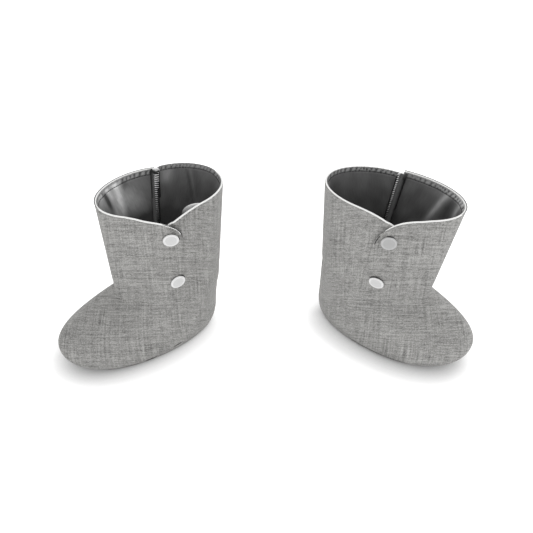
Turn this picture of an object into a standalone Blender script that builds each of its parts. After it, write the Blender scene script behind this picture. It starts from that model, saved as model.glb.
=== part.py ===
"""Pair of ankle-high cloth boot covers that stand filled out, with their toes turned out.

Each cover has two leg panels that wrap over at the inner side, a foot, a sole, a lining for each of
these, a light edge piping, and two round snaps. Sizes are in millimetres and degrees, and meshes are
made in metres. +Z is up, +X runs from the left cover to the right one, and the closures face -Y.

Places on a cover are given by an angle round it and a height. The angle is 0 at the toe, 90 at the
closure on the inner side, 180 at the heel and 270 on the outer side.
"""
import math

import bpy
import numpy as np
from mathutils import Vector

MM = 0.001
NORMAL_STEP = 0.05

# Cloth layers
OUTER_WALL = 1.2
LINING_WALL = 1.0
SEAM_GAP = 0.3
CLOSURE_GAP = 0.4

# Edge piping: how deep in the layers it lies, and the last columns of a corner that it leaves bare
PIPING_RADIUS = 0.6
PIPING_DEPTH_SHARE = 0.65
FRONT_BARE_COLUMNS = 3
BACK_BARE_COLUMNS = 4

# Foot, measured from the point below the ankle
TOE_REACH = 94.2
HEEL_REACH = 49.6
BALL_HALF_WIDTH = 36.2
BALL_BIAS = 0.174
MEDIAL_BIAS = 1.5
SQUARENESS = 0.07
HEEL_POWER = 1.5
SIDE_POWER = 2.24
INSTEP_POWER = 2.0
INSTEP_ROUND = 1.29

# Rounded edge between the foot and its sole
TUCK_HEIGHT = 20.2
TUCK_SHARE = 0.942
TOE_TUCK = 1.48
SIDE_TUCK = 0.5

# Ankle, where the foot turns into the straight leg
ANKLE_HEIGHT = 54.1
ANKLE_FRONT = 45.3
ANKLE_BACK = 47.8
ANKLE_HALF_WIDTH = 31.5

# Ankle seam, which rises between the toe and the closure
SEAM_HEIGHT = 64.0
SEAM_RISE = 5.0
SEAM_RISE_ANGLE = 42.0
SEAM_RISE_SPREAD = 22.0
SEAM_DIP = 0.8
SEAM_DIP_SPREAD = 3.0

# Closure
CORNER_DROP = 30.0
FLAP_RAISE_LOW = 0.9
FLAP_RAISE_TOP = 1.3
FLAP_RAMP = 12.0
FLAP_CLEAR = 5.0
UNDER_RAMP = 7.0
UNDER_CLEAR = 2.5
BACK_ROUND = 2.0

# Outer side seam: the panels' tops step apart near it, and the gap grows where the oval is longer
STEP_SPREAD = 18.0
SIDE_GAP_GROWTH = 1.3
SEAM_DRIFT_SPREAD = 25.0

# Sole and insole
SOLE_THICKNESS = 1.8
SOLE_INSET = 1.6
FOOT_LIFT = 0.4
INSOLE_THICKNESS = 1.0

# Seam strip on the lining
STRIP_HALF_ANGLE = 4.2
STRIP_WALL = 1.2
STRIP_TOP_DROP = 0.6
STRIP_CLEAR = 0.5
STRIP_BULGE = 0.4
STRIP_FOOT_RISE = 2.0
STRIP_ROWS = 6

# Inner tab behind the back panel's edge
TAB_START = 94.0
TAB_END = 110.0
TAB_HEIGHT = 34.0
TAB_ROUND = 1.8
TAB_CORNER = 10.0
TAB_FALL = 3.0
TAB_WALL = 1.2
TAB_CLEAR = 0.8
TAB_COLUMNS = 7
TAB_ROWS = 5

# Snaps
CAP_RADIUS = 6.2
CAP_HEIGHT = 1.3
BACK_RADIUS = 5.3
BACK_THICKNESS = 1.2
SNAP_SEGMENTS = 16
CURVATURE_ROOM = 0.65

# Turned profiles, from the middle of the outer face to the middle of the face on the cloth, in
# shares of the radius and the height
CAP_PROFILE = ((0.0, 1.0), (0.5, 0.92), (0.86, 0.66), (1.0, 0.27), (0.97, 0.0), (0.0, 0.0))
BACK_PROFILE = ((0.0, 1.0), (0.9, 1.0), (1.0, 0.6), (1.0, 0.0), (0.0, 0.0))

# Mesh density
FOOT_COLUMNS = 32
TUCK_ROWS = 4
INSTEP_ROWS = 5
PANEL_LEVELS = (0.0, 0.07, 0.5, 1.0)
CREASE_ROW = 4.0
FOLD_FADE = 12.0
PANEL_STEP = 7.5
CORNER_COLUMNS = 10
CORNER_CROWDING = 1.6

# How each cover stands. The cut is the same, mirrored, and the cloth settles differently.
# side: -1 is the left cover and +1 the right. rim_: the oval of the top edge. ankle_: the ankle's
# shift. seam_: the outer side seam, with its drift round the leg for each millimetre down, where
# front_step and back_step set the panels' tops a little apart. flap_ and under_: the two panels'
# top corners.
COVERS = (
    dict(name="left", side=-1, x=-89.4, y=-0.3, heading=29.2,
         rim_x=-85.9, rim_y=16.6, rim_heading=31.5, rim_half_length=53.3, rim_half_width=43.9,
         rim_bias=-0.037, rim_height=134.1, rim_front_rise=-1.3, rim_closure_rise=2.3,
         ankle_forward=-4.8, ankle_inward=0.5, instep_fill=-1.2,
         seam_angle=254.1, seam_pinch=4.0, seam_spread=17.5, seam_drift=0.12,
         front_step=0.0, back_step=0.0,
         flap_start=38.0, flap_edge=89.5, flap_lean=7.0, flap_soft=1.15, flap_round=3.5,
         under_start=110.0, under_edge=64.0, under_soft=1.72,
         upper_snap=(78.5, 113.4), lower_snap=(85.0, 73.6),
         tab_rise=0.5, tab_lean=6.0),
    dict(name="right", side=1, x=90.9, y=7.3, heading=33.6,
         rim_x=102.4, rim_y=11.3, rim_heading=30.5, rim_half_length=58.9, rim_half_width=36.3,
         rim_bias=-0.014, rim_height=134.3, rim_front_rise=-0.6, rim_closure_rise=-0.8,
         ankle_forward=1.9, ankle_inward=0.5, instep_fill=4.6,
         seam_angle=265.2, seam_pinch=2.4, seam_spread=13.8, seam_drift=-0.10,
         front_step=1.6, back_step=-1.0,
         flap_start=46.0, flap_edge=86.0, flap_lean=0.0, flap_soft=2.6, flap_round=2.0,
         under_start=108.0, under_edge=60.0, under_soft=2.18,
         upper_snap=(73.0, 111.0), lower_snap=(73.0, 72.6),
         tab_rise=-5.0, tab_lean=1.5),
)

# Soft upright folds in the front lining: the place, half width and depth of each, and how far it
# drifts round the cover for each millimetre down
LINING_FOLDS = (
    dict(cover="left", angle=-63.0, spread=9.0, depth=1.6, drift=0.10),
    dict(cover="left", angle=-40.0, spread=8.0, depth=1.2, drift=0.05),
    dict(cover="right", angle=-49.0, spread=9.0, depth=1.6, drift=-0.15),
    dict(cover="right", angle=-20.0, spread=8.0, depth=1.0, drift=0.05),
)

# Colours and finishes: base colour, roughness
FINISHES = {
    "outer_cloth": ((0.31, 0.31, 0.30), 0.95),
    "satin_lining": ((0.055, 0.055, 0.055), 0.45),
    "edge_piping": ((0.75, 0.75, 0.74), 0.8),
    "serged_seam": ((0.16, 0.16, 0.16), 0.85),
    "sole_cloth": ((0.20, 0.20, 0.20), 0.95),
    "snap_plastic": ((0.68, 0.68, 0.68), 0.35),
}


def clear_scene():
    """Remove what a new scene holds."""
    for item in list(bpy.data.objects):
        bpy.data.objects.remove(item)


def make_material(name):
    """One plain material from the finishes."""
    colour, roughness = FINISHES[name]
    material = bpy.data.materials.new(name)
    material.use_nodes = True
    shader = material.node_tree.nodes["Principled BSDF"]
    shader.inputs["Base Color"].default_value = (*colour, 1.0)
    shader.inputs["Roughness"].default_value = roughness
    shader.inputs["Metallic"].default_value = 0.0
    return material


def ease(value):
    """Smooth step from 0 to 1."""
    value = np.clip(value, 0.0, 1.0)
    return value * value * (3.0 - 2.0 * value)


def turned(value, power):
    """Power of a cosine or sine that keeps its sign, which squares an ellipse a little."""
    return np.sign(value) * np.abs(value) ** (2.0 / power)


def place(cover, heading, x, y, along, across):
    """Plan point from distances towards the toe and towards the closure."""
    turn = math.radians(heading)
    side = cover["side"]
    toe = (side * math.cos(turn), -math.sin(turn))
    inner = (-side * math.sin(turn), -math.cos(turn))
    return x + along * toe[0] + across * inner[0], y + along * toe[1] + across * inner[1]


def foot_section(cover, angle, height):
    """Plan outline of the foot: an oval from heel to toe, wider at the ball. It narrows to the
    ankle, its toe falls back over the instep, and it tucks under at the floor."""
    cosine = np.cos(np.radians(angle))
    sine = np.sin(np.radians(angle))
    rise = np.clip((height - TUCK_HEIGHT) / (ANKLE_HEIGHT - TUCK_HEIGHT), 0.0, 1.0)
    share = np.clip(height / ANKLE_HEIGHT, 0.0, 1.0)
    under = np.clip((TUCK_HEIGHT - height) / TUCK_HEIGHT, 0.0, 1.0) * TUCK_SHARE
    tucked = (1.0 - np.sqrt(1.0 - under ** 2)) * TUCK_HEIGHT
    fullness = 1.0 - share ** SIDE_POWER
    toe = ANKLE_FRONT + (TOE_REACH - ANKLE_FRONT) * (1.0 - rise ** INSTEP_POWER) ** INSTEP_ROUND
    toe = toe - tucked * TOE_TUCK
    heel = ANKLE_BACK + (HEEL_REACH - ANKLE_BACK) * (1.0 - share ** HEEL_POWER)
    heel = heel - tucked * SIDE_TUCK
    half_width = ANKLE_HALF_WIDTH + (BALL_HALF_WIDTH - ANKLE_HALF_WIDTH) * fullness
    half_width = half_width - tucked * SIDE_TUCK
    power = 2.0 + SQUARENESS * fullness
    along = (toe - heel) / 2.0 + (toe + heel) / 2.0 * turned(cosine, power)
    across = half_width * turned(sine, power) * (1.0 + BALL_BIAS * fullness * cosine)
    across = across + MEDIAL_BIAS * fullness * cosine
    front = np.maximum(cosine, 0.0) ** 2
    along = along + share ** 2 * (cover["ankle_forward"] + cover["instep_fill"] * front)
    across = across + share ** 2 * cover["ankle_inward"]
    return place(cover, cover["heading"], cover["x"], cover["y"], along, across)


def rim_height(cover, angle):
    """Height of the top edge's oval, before the panels' corners drop from it."""
    turn = np.radians(angle)
    slope = cover["rim_front_rise"] * np.cos(turn) + cover["rim_closure_rise"] * np.sin(turn)
    return cover["rim_height"] + slope


def rim_section(cover, angle):
    """Plan outline of the top edge: an oval that the outer side seam pulls in."""
    cosine = np.cos(np.radians(angle))
    sine = np.sin(np.radians(angle))
    from_seam = np.abs((angle - cover["seam_angle"] + 180.0) % 360.0 - 180.0)
    pinch = cover["seam_pinch"] * np.exp(-from_seam / cover["seam_spread"])
    along = (cover["rim_half_length"] - pinch) * cosine
    across = cover["rim_half_width"] * sine * (1.0 + cover["rim_bias"] * cosine) - pinch * sine
    return place(cover, cover["rim_heading"], cover["rim_x"], cover["rim_y"], along, across)


def surface(cover, angle, height):
    """Point on the cover's outer form: the foot's sections up to the ankle, and above it straight
    lines from the ankle to the top edge."""
    angle, height = np.broadcast_arrays(np.asarray(angle, float), np.asarray(height, float))
    low_x, low_y = foot_section(cover, angle, np.minimum(height, ANKLE_HEIGHT))
    rim_x, rim_y = rim_section(cover, angle)
    leg = np.maximum(height - ANKLE_HEIGHT, 0.0) / (rim_height(cover, angle) - ANKLE_HEIGHT)
    x = low_x + (rim_x - low_x) * leg
    y = low_y + (rim_y - low_y) * leg
    return np.stack((x, y, height), axis=-1)


def unit(vectors):
    """Vectors scaled to length one."""
    return vectors / np.linalg.norm(vectors, axis=-1, keepdims=True)


def outward(cover, angle, height):
    """Unit normal of the outer form, from small steps round and up."""
    step = NORMAL_STEP
    round_step = surface(cover, angle + step, height) - surface(cover, angle - step, height)
    up_step = surface(cover, angle, height + step) - surface(cover, angle, height - step)
    return unit(-cover["side"] * np.cross(round_step, up_step))


def seam_height(angle):
    """Height of the ankle seam."""
    from_closure = (angle + 90.0) % 360.0 - 90.0
    from_peak = (from_closure - SEAM_RISE_ANGLE) / SEAM_RISE_SPREAD
    return SEAM_HEIGHT + SEAM_RISE * np.exp(-from_peak ** 2)


def layer(cover, angle, height, inward):
    """Point a given depth inside the outer form, mitred where the form bends at the ankle, and
    drawn in a little along the ankle seam."""
    angle, height = np.broadcast_arrays(np.asarray(angle, float), np.asarray(height, float))
    from_seam = height - seam_height(angle)
    depth = inward + SEAM_DIP * np.exp(-(from_seam / SEAM_DIP_SPREAD) ** 2)
    above = outward(cover, angle, height + 2.0 * NORMAL_STEP)
    below = outward(cover, angle, height - 2.0 * NORMAL_STEP)
    normal = unit(above + below)
    mitre = np.sum(normal * above, axis=-1)
    return surface(cover, angle, height) - normal * (depth / mitre)[..., None]


def flap_edge_angle(cover, height):
    """Angle of the flap's upright edge, which leans towards the heel lower down."""
    low_end = rim_height(cover, cover["flap_edge"]) - CORNER_DROP
    share = np.clip((low_end - height) / (low_end - SEAM_HEIGHT), 0.0, 1.0)
    return cover["flap_edge"] + cover["flap_lean"] * share


def flap_raise(cover, angle, height):
    """How far the flap stands out of the form, over the panel below it."""
    level = (height - SEAM_HEIGHT) / (cover["rim_height"] - SEAM_HEIGHT)
    full = FLAP_RAISE_LOW + (FLAP_RAISE_TOP - FLAP_RAISE_LOW) * np.clip(level, 0.0, 1.0)
    start = cover["under_edge"] - FLAP_CLEAR - FLAP_RAMP
    return full * ease((angle - start) / FLAP_RAMP)


def under_depth(cover, angle, height):
    """How far the back panel goes in to pass below the flap."""
    stack = OUTER_WALL + SEAM_GAP + LINING_WALL + CLOSURE_GAP
    full = stack - flap_raise(cover, cover["flap_edge"], height)
    end = flap_edge_angle(cover, height) + UNDER_CLEAR + UNDER_RAMP
    return full * ease((end - angle) / UNDER_RAMP)


def corner_drop(share, soft, rounding):
    """Drop of a panel's top edge towards its upright edge, as a superellipse."""
    return CORNER_DROP * (1.0 - (1.0 - share ** soft) ** (1.0 / rounding))


def corner_steps():
    """Shares of a corner's width, closer together where the edge turns down."""
    even = np.linspace(0.0, 1.0, CORNER_COLUMNS + 1)
    return 1.0 - (1.0 - even) ** CORNER_CROWDING


def straight_steps(start, end):
    """Angles along the plain stretch of a panel, without its last one."""
    count = int(round(abs(end - start) / PANEL_STEP))
    return np.linspace(start, end, count, endpoint=False)


def half_gap_angle(cover):
    """Angle of half the seam gap on the top edge's oval."""
    return math.degrees(SEAM_GAP / 2.0 / cover["rim_half_width"]) * SIDE_GAP_GROWTH


def front_top(cover):
    """Angles and heights along the front panel's top edge, from the side seam to the flap's edge."""
    start, edge = cover["flap_start"], cover["flap_edge"]
    plain = straight_steps(cover["seam_angle"] - 360.0 + half_gap_angle(cover), start)
    angles = np.concatenate((plain, start + (edge - start) * corner_steps()))
    share = np.clip((angles - start) / (edge - start), 0.0, 1.0)
    drop = corner_drop(share, cover["flap_soft"], cover["flap_round"])
    step = cover["front_step"] * np.exp((angles[0] - angles) / STEP_SPREAD)
    return angles, rim_height(cover, angles) - drop + step


def back_top(cover):
    """Angles and heights along the back panel's top edge, from its hidden edge to the side seam."""
    start, edge = cover["under_start"], cover["under_edge"]
    corner = start - (start - edge) * corner_steps()
    plain = straight_steps(cover["seam_angle"] - half_gap_angle(cover), start)
    angles = np.concatenate((corner[::-1], plain[::-1]))
    share = np.clip((start - angles) / (start - edge), 0.0, 1.0)
    drop = corner_drop(share, cover["under_soft"], BACK_ROUND)
    step = cover["back_step"] * np.exp((angles - angles[-1]) / STEP_SPREAD)
    return angles, rim_height(cover, angles) - drop + step


def edge_room():
    """Height that the piping takes at the top of a panel."""
    return SEAM_GAP + 2.0 * PIPING_RADIUS


def seam_shift(cover, angle, height):
    """How far the side seam has drifted round the leg at a height. The cloth beside it drifts less
    the further away it is."""
    below = np.maximum(cover["rim_height"] - edge_room() - height, 0.0)
    from_seam = (angle - cover["seam_angle"] + 180.0) % 360.0 - 180.0
    return cover["seam_drift"] * below * np.exp(-(from_seam / SEAM_DRIFT_SPREAD) ** 2)


def front_grid(cover):
    """Angles and heights of the front panel, row by row from the ankle seam up. The columns of the
    flap lean with its edge."""
    top_angles, tops = front_top(cover)
    start = cover["flap_start"]
    share = np.clip((top_angles - start) / (cover["flap_edge"] - start), 0.0, 1.0)
    foot_angles = top_angles + cover["flap_lean"] * share
    bottoms = seam_height(foot_angles) + SEAM_GAP / 2.0
    level = np.array(PANEL_LEVELS)[:, None]
    heights = bottoms + (tops - edge_room() - bottoms) * level
    leaning = flap_edge_angle(cover, heights) - cover["flap_edge"]
    return top_angles + leaning * share + seam_shift(cover, top_angles, heights), heights


def back_grid(cover):
    """Angles and heights of the back panel, row by row from the ankle seam up."""
    top_angles, tops = back_top(cover)
    bottoms = seam_height(top_angles) + SEAM_GAP / 2.0
    level = np.array(PANEL_LEVELS)[:, None]
    heights = bottoms + (tops - edge_room() - bottoms) * level
    return top_angles + seam_shift(cover, top_angles, heights), heights


def fold_depth(cover, angle, height):
    """Depth of the soft upright folds in the front lining, which fade at the top edge."""
    below = cover["rim_height"] - height
    depth = np.zeros(np.shape(angle))
    for fold in LINING_FOLDS:
        if fold["cover"] == cover["name"]:
            middle = fold["angle"] + fold["drift"] * below
            bump = np.exp(-((angle - middle) / fold["spread"]) ** 2)
            depth = depth + fold["depth"] * bump * ease(below / FOLD_FADE)
    return depth


def add_object(name, data, material, group):
    """Put a mesh or curve into the scene under its own name."""
    data.materials.append(material)
    item = bpy.data.objects.new(name, data)
    group.objects.link(item)
    return item


def solidify(item, wall):
    """Give an open surface its wall, on the side away from its normals."""
    modifier = item.modifiers.new("Wall", "SOLIDIFY")
    modifier.thickness = wall * MM
    modifier.offset = -1.0
    modifier.use_even_offset = True
    modifier.use_quality_normals = True
    return item


def loft(name, cover, points, wall, material, group, closed=False):
    """Cloth piece lofted through rows of points, from low to high, then given its wall."""
    rows, columns = points.shape[:2]
    last = columns if closed else columns - 1
    row, column = np.meshgrid(np.arange(rows - 1), np.arange(last), indexing="ij")
    beside = (column + 1) % columns
    corners = (row * columns + column, row * columns + beside,
               (row + 1) * columns + beside, (row + 1) * columns + column)
    faces = np.stack(corners, axis=-1).reshape(-1, 4)
    if cover["side"] > 0:
        faces = faces[:, ::-1]
    mesh = bpy.data.meshes.new(name)
    mesh.from_pydata((points.reshape(-1, 3) * MM).tolist(), [], faces.tolist())
    mesh.shade_smooth()
    return solidify(add_object(name, mesh, material, group), wall)


def plate(name, cover, outline, thickness, material, group):
    """Flat piece filled inside an outline, whose upper face is given."""
    corners = list(range(len(outline)))
    if cover["side"] > 0:
        corners.reverse()
    mesh = bpy.data.meshes.new(name)
    mesh.from_pydata((outline * MM).tolist(), [], [corners])
    return solidify(add_object(name, mesh, material, group), thickness)


def tube(name, points, radius, material, group):
    """Round cord through points, with filled ends."""
    curve = bpy.data.curves.new(name, "CURVE")
    curve.dimensions = "3D"
    curve.bevel_depth = radius * MM
    curve.bevel_resolution = 1
    curve.use_fill_caps = True
    spline = curve.splines.new("POLY")
    spline.points.add(len(points) - 1)
    for point, spot in zip(spline.points, points * MM):
        point.co = (*spot, 1.0)
    return add_object(name, curve, material, group)


def disc(name, profile, location, normal, material, group):
    """Turned piece from a profile of radius and height pairs, set on a surface by its normal."""
    mesh = bpy.data.meshes.new(name)
    points = [(radius * MM, 0.0, height * MM) for radius, height in profile]
    mesh.from_pydata(points, [(spot, spot + 1) for spot in range(len(points) - 1)], [])
    item = add_object(name, mesh, material, group)
    screw = item.modifiers.new("Turn", "SCREW")
    screw.axis = "Z"
    screw.angle = math.tau
    screw.steps = SNAP_SEGMENTS
    screw.render_steps = SNAP_SEGMENTS
    screw.use_merge_vertices = True
    screw.merge_threshold = 0.00001
    item.location = location * MM
    item.rotation_euler = Vector(normal).to_track_quat("Z", "Y").to_euler()
    return item


def make_legs(cover, name, materials, group):
    """Front and back leg panels, and the linings that follow them."""
    angles, heights = front_grid(cover)
    depth = -flap_raise(cover, angles, heights)
    points = layer(cover, angles, heights, depth)
    loft(name + "leg_front", cover, points, OUTER_WALL, materials["outer_cloth"], group)

    angles, heights = back_grid(cover)
    points = layer(cover, angles, heights, under_depth(cover, angles, heights))
    loft(name + "leg_back", cover, points, OUTER_WALL, materials["outer_cloth"], group)

    behind = OUTER_WALL + SEAM_GAP
    angles, heights = front_grid(cover)
    depth = behind - flap_raise(cover, angles, heights) + fold_depth(cover, angles, heights)
    points = layer(cover, angles, heights, depth)
    loft(name + "leg_front_lining", cover, points, LINING_WALL, materials["satin_lining"], group)

    angles, heights = back_grid(cover)
    points = layer(cover, angles, heights, behind + under_depth(cover, angles, heights))
    loft(name + "leg_back_lining", cover, points, LINING_WALL, materials["satin_lining"], group)


def foot_heights(angles):
    """Heights of the foot's rows at each angle: round the tucked edge, over the instep to the
    ankle, and on to the ankle seam."""
    lowest = math.asin(TUCK_SHARE * (TUCK_HEIGHT - FOOT_LIFT) / TUCK_HEIGHT)
    arc = np.linspace(lowest, 0.0, TUCK_ROWS + 1)
    tuck = TUCK_HEIGHT * (1.0 - np.sin(arc) / TUCK_SHARE)
    rise = np.sin(np.linspace(0.0, math.pi / 2.0, INSTEP_ROWS + 1))[1:]
    instep = TUCK_HEIGHT + (ANKLE_HEIGHT - TUCK_HEIGHT) * rise
    fixed = np.concatenate((tuck, instep))[:, None] + np.zeros(len(angles))
    seam = seam_height(angles) - SEAM_GAP / 2.0
    return np.vstack((fixed, seam - CREASE_ROW, seam))


def make_foot(cover, name, materials, group):
    """Foot upper and its lining, the flat sole, and the insole inside."""
    angles = np.linspace(0.0, 360.0, FOOT_COLUMNS, endpoint=False)
    points = layer(cover, angles, foot_heights(angles), 0.0)
    loft(name + "foot", cover, points, OUTER_WALL, materials["outer_cloth"], group, closed=True)

    lining = layer(cover, angles, foot_heights(angles)[1:], OUTER_WALL + SEAM_GAP)
    loft(name + "foot_lining", cover, lining, LINING_WALL, materials["satin_lining"], group,
         closed=True)

    add_sole(cover, name + "sole", points[0], SOLE_THICKNESS, SOLE_THICKNESS,
             materials["sole_cloth"], group)
    top = SOLE_THICKNESS + SEAM_GAP + INSOLE_THICKNESS
    add_sole(cover, name + "insole", points[0], top, INSOLE_THICKNESS,
             materials["satin_lining"], group)


def add_sole(cover, name, edge, top, thickness, material, group):
    """Flat sole inside the foot's lower edge, with its upper face at a height."""
    along = np.roll(edge, -1, axis=0) - np.roll(edge, 1, axis=0)
    away = np.stack((along[:, 1], -along[:, 0]), axis=1) * -cover["side"]
    outline = np.empty_like(edge)
    outline[:, :2] = edge[:, :2] - unit(away) * SOLE_INSET
    outline[:, 2] = top
    plate(name, cover, outline, thickness, material, group)


def piping_path(cover, angles, heights, depth):
    """Centre of the edge piping: the panel's top edge, moved out of it within the cloth's form."""
    edge = layer(cover, angles, heights, depth)
    normal = outward(cover, angles, heights)
    along = np.gradient(edge, axis=0)
    rise = np.cross(normal, along)
    rise = unit(rise) * np.sign(rise[:, 2:3])
    return edge + rise * (SEAM_GAP + PIPING_RADIUS)


def make_piping(cover, name, materials, group):
    """Light piping along the top of the front panel and of the back panel."""
    inside = (OUTER_WALL + SEAM_GAP) * PIPING_DEPTH_SHARE
    angles, tops = front_top(cover)
    kept = slice(0, len(angles) - FRONT_BARE_COLUMNS)
    angles, heights = angles[kept], tops[kept] - edge_room()
    depth = inside - flap_raise(cover, angles, heights)
    points = piping_path(cover, angles, heights, depth)
    tube(name + "front_piping", points, PIPING_RADIUS, materials["edge_piping"], group)

    angles, tops = back_top(cover)
    kept = slice(BACK_BARE_COLUMNS, len(angles))
    angles, heights = angles[kept], tops[kept] - edge_room()
    depth = inside + under_depth(cover, angles, heights)
    points = piping_path(cover, angles, heights, depth)
    tube(name + "back_piping", points, PIPING_RADIUS, materials["edge_piping"], group)


def make_seam_strip(cover, name, materials, group):
    """Serged seam allowance that lies on the lining along the outer side seam."""
    behind = OUTER_WALL + SEAM_GAP + LINING_WALL + STRIP_CLEAR
    top = rim_height(cover, cover["seam_angle"]) - STRIP_TOP_DROP
    heights = np.linspace(SEAM_HEIGHT + STRIP_FOOT_RISE, top, STRIP_ROWS)[:, None]
    middle = cover["seam_angle"] + seam_shift(cover, cover["seam_angle"], heights)
    angles = middle + STRIP_HALF_ANGLE * np.array((-1.0, 0.0, 1.0))
    depth = behind + STRIP_BULGE * np.array((0.0, 1.0, 0.0))
    points = layer(cover, angles, heights, depth)
    loft(name + "seam_strip", cover, points, STRIP_WALL, materials["serged_seam"], group)


def make_tab(cover, name, materials, group):
    """Rounded inner tab that leans in behind the back panel's edge."""
    share = np.linspace(0.0, 1.0, TAB_COLUMNS)
    angles = TAB_START + (TAB_END - TAB_START) * share
    level = np.linspace(0.0, 1.0, TAB_ROWS)[:, None]
    crown = (1.0 - (1.0 - np.minimum(share * TAB_ROUND, 1.0)) ** 2) ** 0.5
    top = rim_height(cover, angles) + cover["tab_rise"] - TAB_FALL * share - TAB_CORNER * (1.0 - crown)
    bottom = rim_height(cover, angles) - TAB_HEIGHT
    heights = bottom + (top - bottom) * level
    lean = cover["tab_lean"] * (1.0 - share) * level ** 2
    behind = OUTER_WALL + SEAM_GAP + LINING_WALL + TAB_CLEAR
    depth = behind + under_depth(cover, angles, heights) + lean
    points = layer(cover, angles, heights, depth)
    loft(name + "inner_tab", cover, points, TAB_WALL, materials["outer_cloth"], group)


def make_snaps(cover, name, materials, group):
    """Domed caps on the flap, and flat backs on the inside of the panel below it."""
    cap = [(share * CAP_RADIUS, level * CAP_HEIGHT) for share, level in CAP_PROFILE]
    back = [(share * BACK_RADIUS, level * BACK_THICKNESS) for share, level in BACK_PROFILE]
    layers = 2.0 * (OUTER_WALL + SEAM_GAP + LINING_WALL) + CLOSURE_GAP
    for which in ("upper_snap", "lower_snap"):
        angle, height = cover[which]
        normal = outward(cover, angle, height)
        raised = flap_raise(cover, angle, height)
        spot = surface(cover, angle, height) + normal * (raised + SEAM_GAP)
        disc(name + which + "_cap", cap, spot, normal, materials["snap_plastic"], group)
        inside = layers - raised + SEAM_GAP + CURVATURE_ROOM
        spot = surface(cover, angle, height) - normal * inside
        disc(name + which + "_back", back, spot, -normal, materials["snap_plastic"], group)


def main():
    """Build both covers."""
    clear_scene()
    group = bpy.data.collections.new("boot_covers")
    bpy.context.scene.collection.children.link(group)
    materials = {name: make_material(name) for name in FINISHES}
    for cover in COVERS:
        name = cover["name"] + "_"
        make_legs(cover, name, materials, group)
        make_foot(cover, name, materials, group)
        make_piping(cover, name, materials, group)
        make_seam_strip(cover, name, materials, group)
        make_tab(cover, name, materials, group)
        make_snaps(cover, name, materials, group)


main()
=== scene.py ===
"""Pair of ankle-high cloth boot covers: grey melange outside, dark satin inside, corded edges.

Sizes are in millimetres and degrees, and meshes are made in metres. A place on a cover is an angle
round it and a height: 0 is the toe, 90 the closure on the inner side, 180 the heel, and 270 the
outer side. Each cloth piece has a UV map named "cut", its flat cut in metres, which carries the
weave. On the legs, the foot and the linings a second map, "marks", holds two values for the finish.
"""
import math

import bmesh
import bpy
import numpy as np
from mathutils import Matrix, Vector


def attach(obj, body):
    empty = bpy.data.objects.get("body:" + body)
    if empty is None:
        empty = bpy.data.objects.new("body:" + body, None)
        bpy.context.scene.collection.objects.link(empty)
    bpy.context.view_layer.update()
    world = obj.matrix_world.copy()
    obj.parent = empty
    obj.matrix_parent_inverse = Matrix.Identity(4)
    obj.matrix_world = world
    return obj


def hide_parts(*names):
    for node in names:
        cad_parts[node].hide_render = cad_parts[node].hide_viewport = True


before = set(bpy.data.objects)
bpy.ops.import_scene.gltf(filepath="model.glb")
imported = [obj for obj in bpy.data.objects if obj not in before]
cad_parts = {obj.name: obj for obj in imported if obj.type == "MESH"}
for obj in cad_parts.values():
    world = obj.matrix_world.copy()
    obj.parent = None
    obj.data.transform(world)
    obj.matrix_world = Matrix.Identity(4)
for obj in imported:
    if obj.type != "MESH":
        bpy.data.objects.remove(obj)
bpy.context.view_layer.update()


def table(fields, *rows):
    """Rows of a table as dictionaries, from the names of its columns."""
    return [dict(zip(fields.split(), row)) for row in rows]


# Small step for normals, steps round the leg for its girth, and about how far round it one degree is
MM = 0.001
NORMAL_STEP = 0.05
GIRTH_STEPS = (-120.0, 300.5, 0.5)
DEGREE_ARC = 0.75

# Cloth layers, as in the frame
OUTER_WALL = 1.2
LINING_WALL = 1.0
SEAM_GAP = 0.3
CLOSURE_GAP = 0.4
PIPING_RADIUS = 0.6
PIPING_DEPTH_SHARE = 0.65
INSIDE = OUTER_WALL + SEAM_GAP + LINING_WALL
EDGE_ROOM = SEAM_GAP + 2.0 * PIPING_RADIUS

# Foot, measured from the point below the ankle
TOE_REACH = 94.2
HEEL_REACH = 49.6
BALL_HALF_WIDTH = 36.2
BALL_BIAS = 0.174
MEDIAL_BIAS = 1.5
SQUARENESS = 0.07
HEEL_POWER = 1.5
SIDE_POWER = 2.24
INSTEP_POWER = 2.0
INSTEP_ROUND = 1.29

# Rounded edge between the foot and its sole
TUCK_HEIGHT = 20.2
TUCK_SHARE = 0.942
TOE_TUCK = 1.48
SIDE_TUCK = 0.5
FOOT_LIFT = 0.4

# Ankle, where the foot turns into the straight leg
ANKLE_HEIGHT = 54.1
ANKLE_FRONT = 45.3
ANKLE_BACK = 47.8
ANKLE_HALF_WIDTH = 31.5

# Ankle seam, which rises between the toe and the closure
SEAM_HEIGHT = 64.0
SEAM_RISE = 5.0
SEAM_RISE_ANGLE = 42.0
SEAM_RISE_SPREAD = 22.0
SEAM_DIP = 0.18
SEAM_OPEN = 0.06
SEAM_DIP_SPREAD = 3.0

# Closure
CORNER_DROP = 30.0
FLAP_RAISE_LOW = 0.9
FLAP_RAISE_TOP = 1.3
FLAP_RAMP = 12.0
FLAP_CLEAR = 5.0
EDGE_TAPER = 4.5
EDGE_RAISE = 0.15
EDGE_WALL_SHARE = 0.4
EDGE_LINING_SHARE = 0.3
EDGE_GAP = 0.08
EDGE_ROUND = 0.4
EDGE_DEPTH = 0.9
EDGE_GROOVE = 1.1
CORNER_EASE = 8.0
CORNER_GROOVE = 7.0
STEP_SPREAD = 18.0
SIDE_GAP_GROWTH = 1.3
SEAM_DRIFT_SPREAD = 25.0
CORNER_CROWDING = 1.6

# Sole and insole
SOLE_THICKNESS = 1.8
SOLE_INSET = 0.8
INSOLE_THICKNESS = 1.0

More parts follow.
